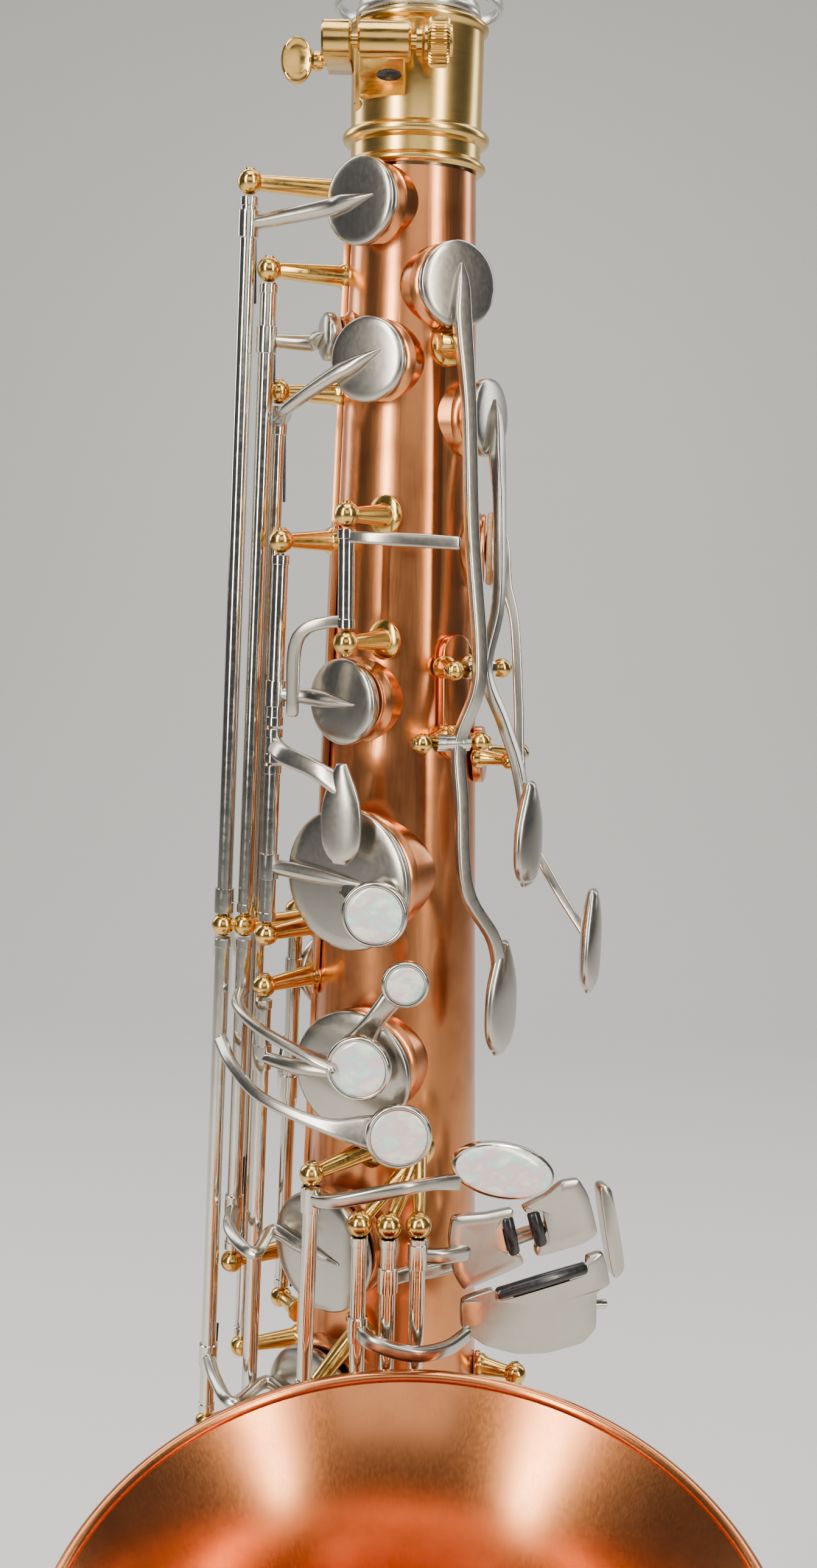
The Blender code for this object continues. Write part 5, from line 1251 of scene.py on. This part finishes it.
def foot_keys():
    """Low E flat and low C, side by side under the right little finger."""
    face = Vector((-0.8, -0.6, 0)).normalized()
    touch = Vector((-50.5, -28.5, -508))
    pivot = low_line("low_eb", 515)
    spot = body_cup("low_eb")
    arm = limb([low_line("low_eb", 508), (-47.5, -21.5, -508), touch + face * 0.8], [2.6, 2.5, 3.4],
               [1.2, 1.2, 1.0], face)
    arms = [low_line("low_eb", 508), pivot]
    key("low_e_flat_key", hinge_tube(low_line("low_eb", 500.4), low_line("low_eb", 536.6), arms)
        + [(arm, SATIN), (oval_plate(touch, face, 13, 17, 2.4), NICKEL), (spine(pivot, *spot, wide=2.0), SATIN)],
        cups=[spot])
    degrees, _, r = BOW_HOLE
    base = bow_side(degrees, bow_r(degrees / 180) + CHIMNEY + GAP)
    top = base - ACROSS * PAD_AND_CUP
    foot = -bow_centre(52).z
    touch = Vector((-55.0, -40.0, -525))
    arm = limb([low_line("low_c", 525), (-48.5, -34.5, -525), touch + face * 0.8], [2.6, 2.5, 3.4],
               [1.2, 1.2, 1.0], face)
    bar = limb([low_line("low_c", 596), Vector((-43.0, -40, -600)), top + Vector((-1.3, r * 0.7, 2)),
                top + Vector((-0.6, 0, 0)), top + Vector((-0.1, -r * 0.4, -3))], [2.8, 2.8, 2.8, 2.0, 0.5],
               [1.3, 1.2, 1.1, 0.9, 0.4], -ACROSS)
    key("low_c_key", hinge_tube(low_line("low_c", 519.4), low_line("low_c", foot - 3.4),
                                [low_line("low_c", 525), low_line("low_c", 596)])
        + [(arm, SATIN), (oval_plate(touch, face, 13, 17, 2.4), NICKEL)], [(bar, SATIN)], [(base, -ACROSS, r)],
        stands_open=True)


def octave_mechanism():
    """The body's octave vent and the thumb lever, on saddles up the back."""
    back = outward(180)
    half = ACROSS * 4.4
    top = on_tube(180, 7.0, 92)
    base = on_tube(180, -1.5, 74) + back * (5 + GAP)
    arm = limb([base + back * 3.6 + UP * 2, base + back * 3.8 - UP * 2, top + UP * 4, top, top - UP * 16],
               [1.4, 2.2, 2.4, 2.6, 1.8], [0.8, 1.0, 1.1, 1.2, 0.9], back)
    lid = turned([(3.6, 0.8), (4.2, 1.0), (4.4, 1.4), (4.4, 2.6), (3.6, 3.3), (0, 3.6)], base, back, 40)
    key("octave_vent_key", hinge_tube(top - half, top + half) + [(arm, SATIN), (lid, SATIN)])
    make("octave_vent_key_cork", [(turned([(0, 0), (3.2, 0), (3.6, 0.4), (3.6, 1.2)], base, back, 36), CORK)],
         "octave_vent_key")
    low = on_tube(180, 7.0, 196)
    touch = on_tube(176, 6.0, 214)
    lever = limb([low + UP * 78 - back, low + UP * 40, low, touch + back * 0.9], [1.8, 2.3, 2.8, 3.4],
                 [0.9, 1.1, 1.2, 1.0], back)
    key("octave_thumb_lever", hinge_tube(low - half, low + half)
        + [(lever, SATIN), (oval_plate(touch, back, 12, 16, 2.0), NICKEL)])
    shapes = [(strip(180, 88, 200, 6), BRASS)]
    for middle in (top, low):
        for side in (-1, 1):
            head = middle + ACROSS * (side * (4.4 + GAP + 2.0))
            shapes += [(post(head - back * 5.9, head, 2.0, 0.6), BRASS), (ball(head, 2.0), BRASS),
                       *pivot_screw(head, ACROSS * side, 2.0)]
        saddle = [(-8.4, -4.4), (8.4, -4.4), (8.4, 4.4), (-8.4, 4.4)]
        shapes.append((slab(eased(saddle), 1.8, middle - back * 6.5, ACROSS, back), BRASS))
    make("octave_rib_saddles", shapes, "body", ("octave_rib",))


def needle_springs():
    """Blued steel needles: each runs from a post beside its key's hinge tube to a hook on that tube."""
    needles = [("stack", 96, 118), ("stack", 186, 166), ("stack", 204, 226), ("outer", 275, 250),
               ("side_high", 320, 296), ("stack", 318, 338), ("stack", 442, 420), ("stack", 448, 470),
               ("side_high", 14, 38), ("outer", 33, 56), ("under", 61, 84), ("back", 294, 272)]
    shapes = []
    for line, start, end in needles:
        angle, standoff = LINES[line]
        a = on_tube(angle - 5, standoff - 1.4, start)
        b = on_tube(angle - 4, standoff - 2.2, end)
        shapes.append((rod(a, b, 0.33, 12, 0.1), BLUED))
    make("needle_springs", shapes, "body")


# ---------------------------------------------------------------- studio


def studio():
    floor_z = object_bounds()[0].z - 0.002
    back, side, rise, bend = 1.3, 3.0, 2.6, 0.6
    profile = [(-2.6, floor_z)] + [(back + bend * math.sin(a), floor_z + bend * (1 - math.cos(a)))
                                   for a in (math.pi / 2 * k / 16 for k in range(17))] + [(back + bend, floor_z + rise)]
    mesh = bpy.data.meshes.new("studio_sweep")
    verts = [(x, y, z) for y, z in profile for x in (-side, side)]
    mesh.from_pydata(verts, [], [(2 * i, 2 * i + 1, 2 * i + 3, 2 * i + 2) for i in range(len(profile) - 1)])
    mesh.shade_smooth()
    paper = Surface("studio_paper", (0.74, 0.735, 0.72), 0.85)
    paper.bump(paper.noise(0.02, (1, 1, 1), 3.0), 0.2)
    mesh.materials.append(paper.mat)
    sweep = bpy.data.objects.new("studio_sweep", mesh)
    bpy.context.collection.objects.link(sweep)
    sweep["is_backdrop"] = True
    world = bpy.data.worlds.new("studio")
    world.use_nodes = True
    world.node_tree.nodes["Background"].inputs["Color"].default_value = (0.86, 0.90, 1.0, 1)
    world.node_tree.nodes["Background"].inputs["Strength"].default_value = 0.09
    bpy.context.scene.world = world
    lights = {"left_strip": ((-0.66, -0.95, 0.55), (0.20, 1.3), 19, (1.0, 0.94, 0.84)),
              "right_strip": ((0.72, -0.85, 0.55), (0.14, 1.3), 13, (1.0, 0.92, 0.80)),
              "top_light": ((0.1, -0.3, 1.5), (1.0, 0.8), 13, (1.0, 0.98, 0.95)),
              "wide_fill": ((0.2, -2.0, 0.9), (1.2, 1.0), 5, (1.0, 0.96, 0.9)),
              "left_rim": ((-1.1, 0.6, 0.7), (0.4, 1.2), 9, (1.0, 0.98, 0.95)),
              "right_rim": ((1.1, 0.6, 0.7), (0.3, 1.2), 6, (0.95, 0.97, 1.0)),
              "backdrop_light": ((0.0, 0.9, 1.6), (2.0, 0.5), 16, (1.0, 1.0, 1.0))}
    aim = Vector((0, -0.05, 0))
    for name, (place, size, watts, colour) in lights.items():
        lamp = bpy.data.lights.new(name, "AREA")
        lamp.shape = "RECTANGLE"
        lamp.size, lamp.size_y = size
        lamp.energy = watts
        lamp.color = colour
        obj = bpy.data.objects.new(name, lamp)
        obj.location = place
        obj.rotation_euler = (aim - Vector(place)).to_track_quat("-Z", "Y").to_euler()
        bpy.context.collection.objects.link(obj)


def camera():
    """The viewing angle: close in front of the upper body, looking a little down."""
    lens = bpy.data.cameras.new("camera")
    lens.lens = 37.47
    lens.sensor_width = 36
    obj = bpy.data.objects.new("camera", lens)
    yaw, pitch, roll = math.radians(0.63), math.radians(-9.35), math.radians(1.38)
    forward = Vector((-math.sin(yaw) * math.cos(pitch), math.cos(yaw) * math.cos(pitch), math.sin(pitch)))
    level = Vector((math.cos(yaw), math.sin(yaw), 0))
    high = level.cross(forward)
    right = level * math.cos(roll) + high * math.sin(roll)
    up = high * math.cos(roll) - level * math.sin(roll)
    turn = Matrix((right, up, -forward)).transposed()
    obj.matrix_world = Matrix.Translation(to_frame(Vector((6.3, -401.5, -86.4)))) @ turn.to_4x4()
    bpy.context.collection.objects.link(obj)
    bpy.context.scene.camera = obj


def main():
    for build in (body_tube, bow, bell, ferrules, bell_brace, strap_ring, thumb_pieces, receiver, screws, neck, ribs,
                  single_posts, palm_ribs, stack_keys, side_keys, palm_keys, front_f, table_keys, g_sharp_keys,
                  foot_keys, octave_mechanism, needle_springs, studio, camera):
        build()


main()
